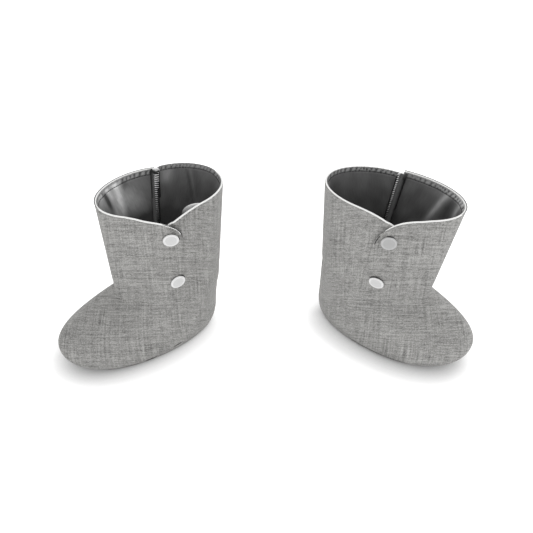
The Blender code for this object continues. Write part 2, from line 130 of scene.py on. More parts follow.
# Seam strip on the lining
STRIP_HALF_ANGLE = 3.6
STRIP_ASIDE = 0.6
STRIP_WALL = 1.2
STRIP_TOP_DROP = 0.6
STRIP_CLEAR = 0.5
STRIP_BULGE = 0.4
STRIP_FOOT_RISE = 2.0
STRIP_ROWS = 60
STRIP_COLUMNS = 15

# Inner tab behind the back panel's edge
TAB_START = 94.0
TAB_END = 110.0
TAB_HEIGHT = 34.0
TAB_ROUND = 1.05
TAB_CORNER = 10.0
TAB_FALL = 3.0
TAB_WALL = 1.2
TAB_CLEAR = 0.8
# Distance over which the tab's painted light rises towards its upper corner
TAB_LIGHT_SPREAD = 22.0
TAB_COLUMNS = 25
TAB_ROWS = 30

# Snaps
CURVATURE_ROOM = 0.65
# Where the painted highlight round a cap's rim starts, and the turn of the painted diagonal reflection
# across it
CAP_FLAT = 4.2
CAP_REFLECTION_TURN = 2.4
CAP_SPREAD = 1.02
# The dark arc at each cap's rim, which paints the shadow in the gap below it: radius, thickness, steps
# and taper
GAP_SHADOW_RADIUS = 6.55
GAP_SHADOW_THICKNESS = 0.5
GAP_SHADOW_STEPS = 24
GAP_SHADOW_TAPER = (0.25, 0.6)
DIMPLE_SPREAD = 13.0
DIMPLE_ROOM = 0.45

# Turned profiles: radius and height, from the middle of the outer face round to the middle of the
# face on the cloth
CAP_PROFILE = ((0.0, 0.98), (0.9, 0.98), (2.6, 0.97), (4.3, 0.93), (4.7, 0.95), (5.1, 1.1),
               (5.5, 1.12), (5.9, 0.9), (6.15, 0.55), (6.2, 0.25), (6.1, 0.06), (5.9, 0.0), (0.0, 0.0))
BACK_PROFILE = ((0.0, 0.5), (1.5, 0.5), (1.9, 1.1), (2.4, 1.2), (2.8, 0.95), (3.0, 0.6), (4.5, 0.55),
                (5.0, 0.45), (5.3, 0.2), (5.2, 0.0), (0.0, 0.0))

# Painted highlight along the bulging middle of the seam strip, and painted shade towards its
# sides: its middle and spread across its cut
STRIP_MIDDLE = 4.4
STRIP_HIGHLIGHT_SPREAD = 2.6

# Distance down the lining over which painted shade would turn it from pale to dark, deeper inside
# the cover, and the share of its tone kept
SATIN_FADE = 480.0
SATIN_TONE = 0.52

# Yarns of the outer cloth. How far it faces the closure's side where its weave starts to run level
# there, and over what spread it turns
YARN_PITCH = 0.62
FACING_START = 0.15
FACING_SPREAD = 0.35

# Noises in the yarns, for their grain, dashes, weft streaks, warp streaks, the patches of those and
# clouds: lumps a millimetre along the weft, along the warp and through the cloth, detail and seed
YARN_NOISES = (
    (1.05, 1.2, 1.0, 2.0, 0.0), (0.16, 1.1, 0.2, 1.0, 3.0), (0.022, 0.9, 0.05, 1.0, 7.0),
    (0.75, 0.022, 0.05, 1.0, 13.0), (0.05, 0.03, 0.05, 1.0, 17.0), (0.10, 0.12, 0.10, 1.0, 21.0),
)

# Turn of the cloth's grain from upright, and the floor: its own light, the reach of the contact shade
# painted on it and the two directions whose darker painted shade it takes
GRAIN_TURN = 35.0
FLOOR_GLOW = 0.42
SHADE_REACH = 22.0
SHADE_LEAN = (0.25, 0.55, 0.8)
SIDE_LEAN = (0.55, -0.3, 0.78)

# Roll of the outer cloth's edge behind the front piping, in a darker copy of the cloth that paints
# its shaded side, and folded top of the seam strip: for its fold and for the dark roll beside it
# that paints the shadow in its hollow, the finish, start above the strip, bend, lift off it, least
# radius, and how skew and how blunt its swelling is
FOLD_DEPTH = 0.2
FOLD_REACH = 1.55
FOLD_RADIUS = 0.42
FOLD_THINNING = 0.8
STRIP_TOPS = table(
    "part finish above bend lift thin skew blunt",
    ("fold", "light_thread", 0.6, 2.0, 0.5, 0.25, 0.7, 0.8),
    ("hollow", "dark_thread", 0.2, 1.0, 0.6, 0.3, 1.0, 0.6),
)

# Thinned end of the flap's piping: how many columns thin, and the share of the radius at the end.
# Dark line beside the flap's corner, a thin tube that paints the shadow of its edge. A taper is the
# share of the radius at both ends of such a line, and how blunt they are.
PIPING_SPREAD = 1.12
PIPING_THINNED = 12
PIPING_END = 0.5
BACK_BARE = 12
CORNER_WIDTH = 22.0
CORNER_SHADOW_LIFT = 0.1
CORNER_SHADOW_RADIUS = 0.36
CORNER_SHADOW_TAPER = (0.45, 0.5)
EDGE_LINE_TAPER = (0.3, 0.4)
EDGE_LINE_STEPS = 40

# Dark lines along the sole's edge, which paint the shadow where the upper meets the sole, and a
# faint dark line above the ankle seam: where each starts and ends round the cover, its height above
# the floor or the seam, how far it is sunk in the cloth, and its radius
DARK_EDGE_LINES = table(
    "cover edge mark start end above sunk radius",
    ("left", "sole", "a", 102.0, 109.0, 7.0, -0.05, 0.34),
    ("left", "sole", "b", 79.0, 88.0, 4.0, -0.05, 0.34),
    ("left", "sole", "c", 44.0, 76.0, 3.6, 0.08, 0.24),
    ("right", "sole", "a", 60.0, 108.0, 3.8, 0.04, 0.28),
    ("right", "sole", "b", 2.0, 26.0, 4.2, 0.04, 0.28),
    ("right", "ankle", "a", 44.0, 64.0, 1.6, 0.04, 0.26),
)

# Cut of each cloth piece, without seam allowance: the part, how it is held, the width, length and
# flat area of the left and the right cover's piece, and the pieces sewn to it. These take in the
# dark tubes that paint shadow beside the flap's corner and in the hollow at the seam strip's top.
CUTS = table(
    "part held left right sewn",
    ("leg_front", "stretched", (170, 69, 9700), (152, 71, 9650), "front_piping_cord corner_thread"),
    ("leg_back", "stretched", (160, 71, 10300), (174, 70, 10600), "back_piping_cord"),
    ("leg_front_lining", "hung", (167, 69, 9500), (150, 71, 9500), "front_hem_stitches"),
    ("leg_back_lining", "hung", (157, 71, 10100), (171, 70, 10450), "back_hem_stitches"),
    ("foot", "stretched", (349, 105, 22100), (350, 99, 22000), ""),
    ("foot_lining", "hung", (339, 102, 20900), (340, 96, 20800), ""),
    ("sole", "stretched", (116, 58, 5300), (116, 58, 5300), ""),
    ("insole", "laid", (116, 58, 5300), (116, 58, 5300), ""),
    ("seam_strip", "stretched", (10, 68, 560), (10, 68, 530),
     "serging strip_top_fold strip_top_hollow"),
    ("inner_tab", "stretched", (15, 33, 440), (15, 28, 380), ""),
)

# Mesh density
FOOT_COLUMNS = 300
TUCK_ROWS = 14
INSTEP_ROWS = 44
UPPER_ROWS = 8
PANEL_STEP = 1.5
PANEL_ROWS = 48
CORNER_COLUMNS = 36
HEM_ROWS = 16
HEM_SHARE = 0.085
LINING_ROWS_BARE = 3
SOLE_RINGS = (1.0, 0.985, 0.96, 0.85, 0.7, 0.55, 0.4, 0.25, 0.1)
SOLE_EDGE_DROPS = (0.35, 0.1)
CORD_SIDES = 12
ROLL_SIDES = 10
THREAD_SIDES = 8
STITCH_SIDES = 6
STITCH_RINGS = 6
DISC_SIDES = 72

# How each cover stands. The cut is the same, mirrored, and the cloth settles differently. side: -1
# is the left cover and +1 the right. x, y and heading: the point below the ankle, and the toe's
# turn from sideways to the viewer. rim_: the oval of the top edge. ankle_: the ankle's shift.
# instep_fill: how much fuller the front of the ankle is. seam_: the outer side seam, with its drift
# round the leg for each millimetre down, where flap_step and under_step set the panels' tops a
# little apart. flap_ and under_: the two panels' top corners. _snap: each snap's angle and height.
# _tip: how far it tips down and turns round, with the cloth that it pulls along. _gap: the part of
# its rim, in degrees from the right, where a dark arc paints the shadow in the gap below it. _tone:
# its plastic. hem_rise: how far the back hem rolls up over the piping. strip_: start and end across
# the seam strip, fall and thickness of its folded top end, and of the dark roll beside it that
# paints the shadow in its hollow. rung: start and width of the serging's threads across it.
# corner_shift: how far the flap's piping draws in at its corner. flap_bare: the columns there that
# it leaves bare. The corner's dark line, which paints the shadow of the flap's edge: the columns
# beside which it runs, and its distance from the cloth. tab_: the inner tab's rise and lean.
COVERS = (
    dict(name="left", side=-1, x=-89.4, y=-0.3, heading=29.2,
         rim_x=-85.9, rim_y=16.6, rim_heading=31.5, rim_half_length=53.3, rim_half_width=43.9,
         rim_bias=-0.037, rim_height=134.1, rim_front_rise=-1.3, rim_closure_rise=2.3,
         ankle_forward=-4.8, ankle_inward=0.5, instep_fill=-1.2,
         seam_angle=254.1, seam_pinch=4.0, seam_spread=17.5, seam_drift=0.12,
         flap_step=0.0, under_step=0.0,
         flap_start=38.0, flap_edge=89.5, flap_lean=7.0, flap_soft=1.15, flap_round=3.5,
         under_start=110.0, under_edge=64.0, under_soft=1.72, under_round=2.0,
         upper_snap=(78.2, 114.0), lower_snap=(84.2, 74.0),
         upper_snap_tip=(15.0, 7.7), lower_snap_tip=(13.3, -7.4),
         upper_snap_tone="snap", lower_snap_tone="snap",
         upper_snap_gap=(-6.0, 24.0), lower_snap_gap=(16.0, 74.0),
         hem_rise=1.6, strip_fold=(0.5, -1.0, 2.6, 0.85), strip_hollow=(1.0, -0.4, 3.4, 0.8),
         rung=(0.15, 0.90), corner_shift=2.2, flap_bare=5, thread_start=-20, thread_end=-2,
         thread_reach=1.7, tab_rise=0.5, tab_lean=6.0),
    dict(name="right", side=1, x=90.9, y=7.3, heading=33.6,
         rim_x=102.4, rim_y=11.3, rim_heading=30.5, rim_half_length=58.9, rim_half_width=36.3,
         rim_bias=-0.014, rim_height=134.3, rim_front_rise=-0.6, rim_closure_rise=-0.8,
         ankle_forward=1.9, ankle_inward=0.5, instep_fill=4.6,
         seam_angle=265.2, seam_pinch=2.4, seam_spread=13.8, seam_drift=-0.10,
         flap_step=1.6, under_step=-1.0,
         flap_start=46.0, flap_edge=86.0, flap_lean=0.0, flap_soft=2.6, flap_round=2.0,
         under_start=108.0, under_edge=60.0, under_soft=2.18, under_round=2.0,
         upper_snap=(73.2, 111.3), lower_snap=(72.9, 73.0),
         upper_snap_tip=(10.1, 12.6), lower_snap_tip=(20.0, -2.5),
         upper_snap_tone="grey_snap", lower_snap_tone="snap",
         upper_snap_gap=(62.0, 112.0), lower_snap_gap=(48.0, 152.0),
         hem_rise=0.9, strip_fold=(0.0, -0.9, 2.6, 0.5), strip_hollow=(1.05, 0.45, 4.6, 0.8),
         rung=(-0.20, 0.55), corner_shift=2.4, flap_bare=12, thread_start=-9, thread_end=-2,
         thread_reach=0.9, tab_rise=-5.0, tab_lean=1.5),
)

# Soft upright folds in the lining: the place, half width and depth of each, and how far it drifts
# round the cover for each millimetre down. They are in the frame too.
LINING_FOLDS = table(
    "cover angle spread depth drift",
    ("left", -63.0, 9.0, 1.6, 0.10),
    ("left", -40.0, 8.0, 1.2, 0.05),
    ("right", -49.0, 9.0, 1.6, -0.15),
    ("right", -20.0, 8.0, 1.0, 0.05),
)
FOLD_FADE = 12.0

# Soft creases in the outer cloth, where the ankle bends and where the cloth settles at the heel and
# sides: the place, the slant of its line from level, its half length and half width, how far it
# bows, and its depth. The ridge beside each is in shares of that.
CREASE_RIDGE = 1.2
CREASES = table(
    "cover angle height slant length width bow depth",
    ("left", 18.0, 57.0, 6.0, 17.0, 3.4, 3.0, 0.30),
    ("left", -28.0, 53.0, -12.0, 14.0, 3.0, -2.5, 0.34),
    ("left", 140.0, 59.0, -9.0, 15.0, 3.6, 2.0, 0.30),
    ("left", 172.0, 48.0, 10.0, 12.0, 3.0, -2.0, 0.36),
    ("left", 215.0, 62.0, -14.0, 16.0, 3.8, 3.0, 0.42),
    ("left", -80.0, 50.0, 8.0, 18.0, 3.6, -3.0, 0.40),
    ("right", 10.0, 60.0, -7.0, 18.0, 3.4, -3.0, 0.32),
    ("right", -34.0, 51.0, 11.0, 13.0, 3.0, 2.0, 0.34),
    ("right", 128.0, 57.0, 9.0, 14.0, 3.4, -2.0, 0.28),
    ("right", 168.0, 62.0, -8.0, 15.0, 3.2, 2.5, 0.36),
    ("right", 222.0, 50.0, 13.0, 15.0, 3.8, -3.0, 0.42),
    ("right", -72.0, 63.0, -10.0, 17.0, 3.6, 3.0, 0.38),
)

# Painted sheen and painted shade on the satin: where its colour is made paler, as a highlight
# on its folds, or darker, as shade between them: the place, half width, distance below the edge,
# reach up and down, drift round the cover for each millimetre down, and strength
STREAKS = table(
    "cover angle spread below reach drift strength",
    ("left", -61.5, 4.4, 16.0, 17.0, -0.16, 1.25),
    ("left", -49.5, 3.6, 9.0, 10.0, -0.45, 1.0),
    ("left", -44.5, 3.9, 13.0, 10.0, -0.62, -0.8),
    ("left", -31.0, 9.0, 7.0, 12.0, -0.30, 0.7),
    ("left", -54.5, 2.6, 26.0, 9.0, -0.40, 0.5),
    ("left", -62.0, 17.0, 17.0, 16.0, -0.30, 0.55),
    ("left", -71.0, 3.6, 8.0, 7.0, -0.10, -0.35),
    ("left", -78.0, 11.0, 24.0, 12.0, -0.30, 0.45),
    ("left", -92.0, 10.0, 24.0, 24.0, 0.0, 0.08),
    ("left", -44.0, 22.0, 1.0, 4.5, 0.0, 0.06),
    ("left", 243.0, 6.0, 9.0, 7.0, 0.2, 0.35),
    ("left", 222.0, 15.0, 14.0, 18.0, 0.0, -0.10),
    ("left", 216.0, 1.6, 12.0, 16.0, -0.15, 0.12),
    ("left", 220.0, 1.4, 12.0, 16.0, -0.15, -0.12),
    ("left", -80.0, 40.0, 44.0, 9.0, 0.0, -0.3),
    ("right", -54.6, 3.2, 17.0, 15.0, -0.48, 0.75),
    ("right", -27.0, 4.0, 10.0, 9.0, -0.3, 0.6),
    ("right", -41.0, 5.0, 12.0, 14.0, -0.4, -0.20),
    ("right", -24.0, 18.0, 1.0, 4.5, 0.0, 0.5),
    ("right", 172.0, 3.0, 12.0, 12.0, 0.0, 0.45),
    ("right", 212.0, 8.0, 14.0, 14.0, 0.0, 0.08),
)

# Turned-in hem of the lining, which its stitch line gathers into small puckers, whose crests are
# painted paler and troughs darker as light and shade, with painted shade along the stitch line, and
# how far above that line, and over what distance, the painted sheen of the satin below it begins
HEM_DEPTH = 3.4
HEM_ROLL = 0.7
HEM_PUCKER = 0.7
HEM_PUCKER_PITCH = 4.2
HEM_GROOVE = 0.35
HEM_GROOVE_SPREAD = 0.55
HEM_RISE_REACH = 6.0
HEM_RISE_START = 166.0
HEM_RISE_SPREAD = 24.0
HEM_RISE_END = 4.0
PUCKER_PAINTED_LIGHT = 0.75
PUCKER_SLANT = 0.5
PUCKER_SHARPNESS = 4
PUCKER_DRIFTS = ((0.35, 9.1, 0.0), (0.25, 3.7, 1.0))
PUCKER_UNEVEN = 0.3
PUCKER_UNEVEN_PITCH = 17.0
PUCKER_CREST = 0.35
PUCKER_TROUGH = 1.1
PUCKER_START = 0.5
PUCKER_OVERRUN = 1.2
STITCH_PAINTED_SHADE = 0.22
SHINE_START = 1.0
SHINE_RAMP = 1.5

# Stitches of the hem, the serging's threads across the seam strip, and the arch of each of them over
# the cloth, in shares of its radius: how far it rises, how deep it starts, and how thin it ends
STITCH_START = 0.15
STITCH_PITCH = 2.4
STITCH_LENGTH = 2.2
STITCH_RADIUS = 0.27
RUNG_PITCH = 1.7
RUNG_RADIUS = 0.36
RUNG_SLANT = 0.6
RUNG_MARGIN = 1.0
ARCH_RISE = 1.3
ARCH_SUNK = 0.5
ARCH_END = 0.55

# Camera of the photo's view, a wide lamp behind on the right, and the floor
CAMERA_TARGET = (-1.95, 11.39, 60.0)
CAMERA_DISTANCE = 623.099
CAMERA_DOWN = 35.461
CAMERA_LENS = 48.99
CAMERA_SHIFT = (0.00566, 0.00174)
LAMP_PLACE = (0.7, 0.8, 1.1)
LAMP_POWER = 5.0
LAMP_SIZE = 0.9
FLOOR_HALF = 4.0


def ease(value):
    """Smooth step from 0 to 1."""
    value = np.clip(value, 0.0, 1.0)
    return value * value * (3.0 - 2.0 * value)


def mix(low, high, share):
    """Value at a share of the way from one to another."""
    return low + (high - low) * share


def bell(value):
    """Bell curve, 1 at zero."""
    return np.exp(-value ** 2)


def round_from(angle, start):
    """Angle round the cover from a start, from -180 to 180."""
    return (angle - start + 180.0) % 360.0 - 180.0


def rows_of(rows, cover):
    """Rows of a table that are for a cover."""
    return [row for row in rows if row["cover"] == cover["name"]]


def tapered(radius, count, thin, blunt):
    """Radii of a cord that thins at both ends to a share of its radius, as a blunt half sine."""
    return radius * mix(thin, 1.0, np.sin(np.linspace(0.0, math.pi, count)) ** blunt)


def into_scene(name, data):
    """Object of some data, linked into the scene."""
    item = bpy.data.objects.new(name, data)
    bpy.context.scene.collection.objects.link(item)
    return item


def turned(value, power):
    """Power of a cosine or sine that keeps its sign, which squares an ellipse a little."""
    return np.sign(value) * np.abs(value) ** (2.0 / power)


def unit(vectors):
    """Vectors scaled to length one."""
    return vectors / np.linalg.norm(vectors, axis=-1, keepdims=True)


def place(cover, heading, x, y, along, across):
    """Plan point from distances towards the toe and towards the closure."""
    turn = math.radians(heading)
    side = cover["side"]
    toe = (side * math.cos(turn), -math.sin(turn))
    inner = (-side * math.sin(turn), -math.cos(turn))
    return x + along * toe[0] + across * inner[0], y + along * toe[1] + across * inner[1]


def foot_section(cover, angle, height):
    """Plan outline of the foot: an oval from heel to toe, wider at the ball. It narrows to the
    ankle, its toe falls back over the instep, and it tucks under at the floor."""
    cosine, sine = np.cos(np.radians(angle)), np.sin(np.radians(angle))
    rise = np.clip((height - TUCK_HEIGHT) / (ANKLE_HEIGHT - TUCK_HEIGHT), 0.0, 1.0)
    share = np.clip(height / ANKLE_HEIGHT, 0.0, 1.0)
    under = np.clip((TUCK_HEIGHT - height) / TUCK_HEIGHT, 0.0, 1.0) * TUCK_SHARE
    tucked = (1.0 - np.sqrt(1.0 - under ** 2)) * TUCK_HEIGHT
    fullness = 1.0 - share ** SIDE_POWER
    over_instep = (1.0 - rise ** INSTEP_POWER) ** INSTEP_ROUND
    toe = mix(ANKLE_FRONT, TOE_REACH, over_instep) - tucked * TOE_TUCK
    heel = mix(ANKLE_BACK, HEEL_REACH, 1.0 - share ** HEEL_POWER) - tucked * SIDE_TUCK
    half_width = mix(ANKLE_HALF_WIDTH, BALL_HALF_WIDTH, fullness) - tucked * SIDE_TUCK
    power = 2.0 + SQUARENESS * fullness
    along = (toe - heel) / 2.0 + (toe + heel) / 2.0 * turned(cosine, power)
    across = half_width * turned(sine, power) * (1.0 + BALL_BIAS * fullness * cosine)
    across = across + MEDIAL_BIAS * fullness * cosine + share ** 2 * cover["ankle_inward"]
    front = np.maximum(cosine, 0.0) ** 2
    along = along + share ** 2 * (cover["ankle_forward"] + cover["instep_fill"] * front)
    return place(cover, cover["heading"], cover["x"], cover["y"], along, across)


def rim_height(cover, angle):
    """Height of the top edge's oval, before the panels' corners drop from it."""
    turn = np.radians(angle)
    slope = cover["rim_front_rise"] * np.cos(turn) + cover["rim_closure_rise"] * np.sin(turn)
    return cover["rim_height"] + slope


def rim_section(cover, angle):
    """Plan outline of the top edge: an oval that the outer side seam pulls in."""
    cosine, sine = np.cos(np.radians(angle)), np.sin(np.radians(angle))
    from_seam = np.abs(round_from(angle, cover["seam_angle"]))
    pinch = cover["seam_pinch"] * np.exp(-from_seam / cover["seam_spread"])
    along = (cover["rim_half_length"] - pinch) * cosine
    across = cover["rim_half_width"] * sine * (1.0 + cover["rim_bias"] * cosine) - pinch * sine
    return place(cover, cover["rim_heading"], cover["rim_x"], cover["rim_y"], along, across)


def surface(cover, angle, height):
    """Point on the cover's outer form: the foot's sections up to the ankle, and above it straight
    lines from the ankle to the top edge."""
    angle, height = np.broadcast_arrays(np.asarray(angle, float), np.asarray(height, float))
    low_x, low_y = foot_section(cover, angle, np.minimum(height, ANKLE_HEIGHT))
    rim_x, rim_y = rim_section(cover, angle)
    leg = np.maximum(height - ANKLE_HEIGHT, 0.0) / (rim_height(cover, angle) - ANKLE_HEIGHT)
    return np.stack((mix(low_x, rim_x, leg), mix(low_y, rim_y, leg), height), axis=-1)


def outward(cover, angle, height):
    """Unit normal of the outer form, from small steps round and up."""
    step = NORMAL_STEP
    round_step = surface(cover, angle + step, height) - surface(cover, angle - step, height)
    up_step = surface(cover, angle, height + step) - surface(cover, angle, height - step)
    return unit(-cover["side"] * np.cross(round_step, up_step))


def seam_height(angle):
    """Height of the ankle seam."""
    return SEAM_HEIGHT + SEAM_RISE * bell(round_from(angle, SEAM_RISE_ANGLE) / SEAM_RISE_SPREAD)


def snap_pull(cover, angle, height):
    """How far the snaps pull the cloth out of its plain form: a tilted plane at each snap, which
    fades away from it as a bell curve."""
    pull = 0.0
    for which in ("upper_snap", "lower_snap"):
        snap_angle, snap_height = cover[which]
        tip, swing = np.tan(np.radians(cover[which + "_tip"]))
        away = (angle - snap_angle) * DEGREE_ARC
        above = height - snap_height
        pull = pull + (tip * above + swing * away) * bell(np.hypot(away, above) / DIMPLE_SPREAD)
    return pull


def crease_depth(cover, angle, height):
    """Depth of the soft creases in the outer cloth: each is a long shallow trough along a slanted
    line, with a low ridge beside it."""
    depth = 0.0
    for crease in rows_of(CREASES, cover):
        away = round_from(angle, crease["angle"]) * DEGREE_ARC
        above = height - crease["height"]
        slant = math.radians(crease["slant"])
        along = (away * math.cos(slant) + above * math.sin(slant)) / crease["length"]
        across = above * math.cos(slant) - away * math.sin(slant)
        across = (across - crease["bow"] * along ** 2) / crease["width"]
        ridge = 1.0 - CREASE_RIDGE * across
        depth = depth + crease["depth"] * ridge * bell(along) * bell(across)
    return depth


def layer(cover, angle, height, inward):
    """Point a given depth inside the outer form, mitred where the form bends at the ankle, drawn
    in a little along the ankle seam, and moved by the creases and the snaps' pull."""
    angle, height = np.broadcast_arrays(np.asarray(angle, float), np.asarray(height, float))
    depth = inward + SEAM_DIP * bell((height - seam_height(angle)) / SEAM_DIP_SPREAD)
    depth = depth + crease_depth(cover, angle, height) - snap_pull(cover, angle, height)
    above = outward(cover, angle, height + 2.0 * NORMAL_STEP)
    below = outward(cover, angle, height - 2.0 * NORMAL_STEP)
    normal = unit(above + below)
    mitre = np.sum(normal * above, axis=-1)
    return surface(cover, angle, height) - normal * (depth / mitre)[..., None]


def corner_start(cover):
    """Height where the flap's upright edge starts to turn in at its corner."""
    return rim_height(cover, cover["flap_edge"]) - CORNER_DROP


def flap_edge_angle(cover, height):
    """Angle of the flap's upright edge, which leans towards the heel lower down."""
    low_end = corner_start(cover)
    share = np.clip((low_end - height) / (low_end - SEAM_HEIGHT), 0.0, 1.0)
    return cover["flap_edge"] + cover["flap_lean"] * share


def edge_share(cover, angle, height):
    """0 at the flap's upright edge, which is pressed flat, and 1 where the flap is full."""
    return ease((flap_edge_angle(cover, height) - angle) / EDGE_TAPER)


def full_raise(cover, height):
    """How far the full flap stands out of the form at a height."""
    level = (height - SEAM_HEIGHT) / (cover["rim_height"] - SEAM_HEIGHT)
    return mix(FLAP_RAISE_LOW, FLAP_RAISE_TOP, np.clip(level, 0.0, 1.0))


def flap_raise(cover, angle, height):
    """How far the flap stands out of the form, over the panel below it."""
    start = cover["under_edge"] - FLAP_CLEAR - FLAP_RAMP
    pressed = mix(EDGE_RAISE, full_raise(cover, height), edge_share(cover, angle, height))
    return pressed * ease((angle - start) / FLAP_RAMP)


def flap_border(cover, height):
    """Angle where the flap ends at a height: its upright edge, or its rounded corner above that."""
    angles, tops = panel_top(cover, "flap")
    corner = slice(-1, -CORNER_COLUMNS - 1, -1)
    rounded = np.interp(height, tops[corner], angles[corner])
    return np.minimum(rounded, flap_edge_angle(cover, height))


def under_depth(cover, angle, height):
    """How far the back panel goes in to pass below the flap. Past the flap it comes out."""
    full = INSIDE + CLOSURE_GAP - full_raise(cover, height)
    below = mix(EDGE_DEPTH, full, edge_share(cover, angle, height))
    upper = ease((height - corner_start(cover)) / CORNER_EASE)
    past = (angle - flap_border(cover, height)) / (EDGE_GROOVE + CORNER_GROOVE * upper)
    return below * (1.0 - ease(past))


def corner_share(cover, side, angles):
    """Share of the way from a panel's plain stretch to its upright edge."""
    start, edge = cover[side + "_start"], cover[side + "_edge"]
    return np.clip((angles - start) / (edge - start), 0.0, 1.0)


def panel_top(cover, side):
    """Angles and heights along the top edge of the flap's panel or of the one under it, with the
    columns closer together where the edge turns down. The corner drops as a superellipse of its
    width, and the small step at the side seam fades as an exponential."""
    flap = side == "flap"
    half_gap = math.degrees(SEAM_GAP / 2.0 / cover["rim_half_width"]) * SIDE_GAP_GROWTH
    seam = cover["seam_angle"] + (half_gap - 360.0 if flap else -half_gap)
    start = cover[side + "_start"]
    plain = np.linspace(seam, start, int(round(abs(start - seam) / PANEL_STEP)), endpoint=False)
    crowded = 1.0 - (1.0 - np.linspace(0.0, 1.0, CORNER_COLUMNS + 1)) ** CORNER_CROWDING
    angles = np.concatenate((plain, mix(start, cover[side + "_edge"], crowded)))
    share = corner_share(cover, side, angles) ** cover[side + "_soft"]
    drop = CORNER_DROP * (1.0 - (1.0 - share) ** (1.0 / cover[side + "_round"]))
    step = cover[side + "_step"] * np.exp(-np.abs(angles - seam) / STEP_SPREAD)
    tops = rim_height(cover, angles) - drop + step
    return (angles, tops) if flap else (angles[::-1], tops[::-1])


def seam_shift(cover, angle, height):
    """How far the side seam has drifted round the leg at a height. The cloth beside it drifts less
    the further away it is."""
    below = np.maximum(cover["rim_height"] - EDGE_ROOM - height, 0.0)
    from_seam = round_from(angle, cover["seam_angle"])
    return cover["seam_drift"] * below * bell(from_seam / SEAM_DRIFT_SPREAD)


def panel_grid(cover, side):
    """Angles and heights of a leg panel, row by row from the ankle seam up, with the rows close
    together along the hem. The columns of the flap lean with its edge."""
    angles, tops = panel_top(cover, side)
    share = corner_share(cover, side, angles) if side == "flap" else 0.0
    bottoms = seam_height(angles + cover["flap_lean"] * share) + SEAM_OPEN / 2.0
    plain = np.linspace(0.0, 1.0 - HEM_SHARE, PANEL_ROWS, endpoint=False)
    levels = np.concatenate((plain, np.linspace(1.0 - HEM_SHARE, 1.0, HEM_ROWS)))[:, None]
    heights = mix(bottoms, tops - EDGE_ROOM, levels)
    leaning = (flap_edge_angle(cover, heights) - cover["flap_edge"]) * share
    return angles + leaning + seam_shift(cover, angles, heights), heights


def fold_depth(cover, angle, height):
    """Depth of the soft upright folds in the front lining, which fade at the top edge."""
    below = cover["rim_height"] - height
    depth = np.zeros(np.shape(angle))
    for fold in rows_of(LINING_FOLDS, cover):
        away = angle - fold["angle"] - fold["drift"] * below
        depth = depth + fold["depth"] * bell(away / fold["spread"]) * ease(below / FOLD_FADE)
    return depth


def girth(cover, angle, height):
    """Distance round the leg from the closure at a height: the lengths of the ankle's and the top
    edge's ovals up to the angle, mixed by height."""
    steps = np.arange(*GIRTH_STEPS)
    ends = []
    for level in (ANKLE_HEIGHT, cover["rim_height"]):
        length = walked(surface(cover, steps, level)[:, :2], 0)
        ends.append(np.interp(angle, steps, length - np.interp(90.0, steps, length)))
    return mix(*ends, (height - ANKLE_HEIGHT) / (cover["rim_height"] - ANKLE_HEIGHT))


def walked(points, axis):
    """Distance along each row or column of a grid of points."""
    steps = np.linalg.norm(np.diff(points, axis=axis), axis=-1)
    start = np.zeros_like(np.take(steps, [0], axis=axis))
    return np.concatenate((start, np.cumsum(steps, axis=axis)), axis=axis)


def add_mesh(name, points, faces, cut, finish, nodes=(), marks=None):
    """Object from points in millimetres, faces, and each face corner's place on the flat cut and
    marks. It rides with the root and stands for the named nodes."""
    material, slot = finish
    mesh = bpy.data.meshes.new(name)
    mesh.from_pydata((points * MM).tolist(), [], faces)
    for map_name, places in (("cut", cut), ("marks", marks)):
        if places is not None:
            layout = mesh.uv_layers.new(name=map_name)
            layout.data.foreach_set("uv", (places * MM).astype(np.float32).ravel())
    shaper = bmesh.new()
    shaper.from_mesh(mesh)
    bmesh.ops.recalc_face_normals(shaper, faces=shaper.faces)
    shaper.to_mesh(mesh)
    shaper.free()
    mesh.shade_smooth()
    mesh.materials.append(material)
    item = into_scene(name, mesh)
    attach(item, "root")
    if nodes:
        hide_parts(*nodes)


def grid_corners(rows, columns):
    """Row and column of the four corners of each quad between neighbouring points of a grid."""
    row, column = np.meshgrid(np.arange(rows - 1), np.arange(columns - 1), indexing="ij")
    row = np.stack((row, row, row + 1, row + 1), axis=-1).reshape(-1, 4)
    column = np.stack((column, column + 1, column + 1, column), axis=-1).reshape(-1, 4)
    return row, column


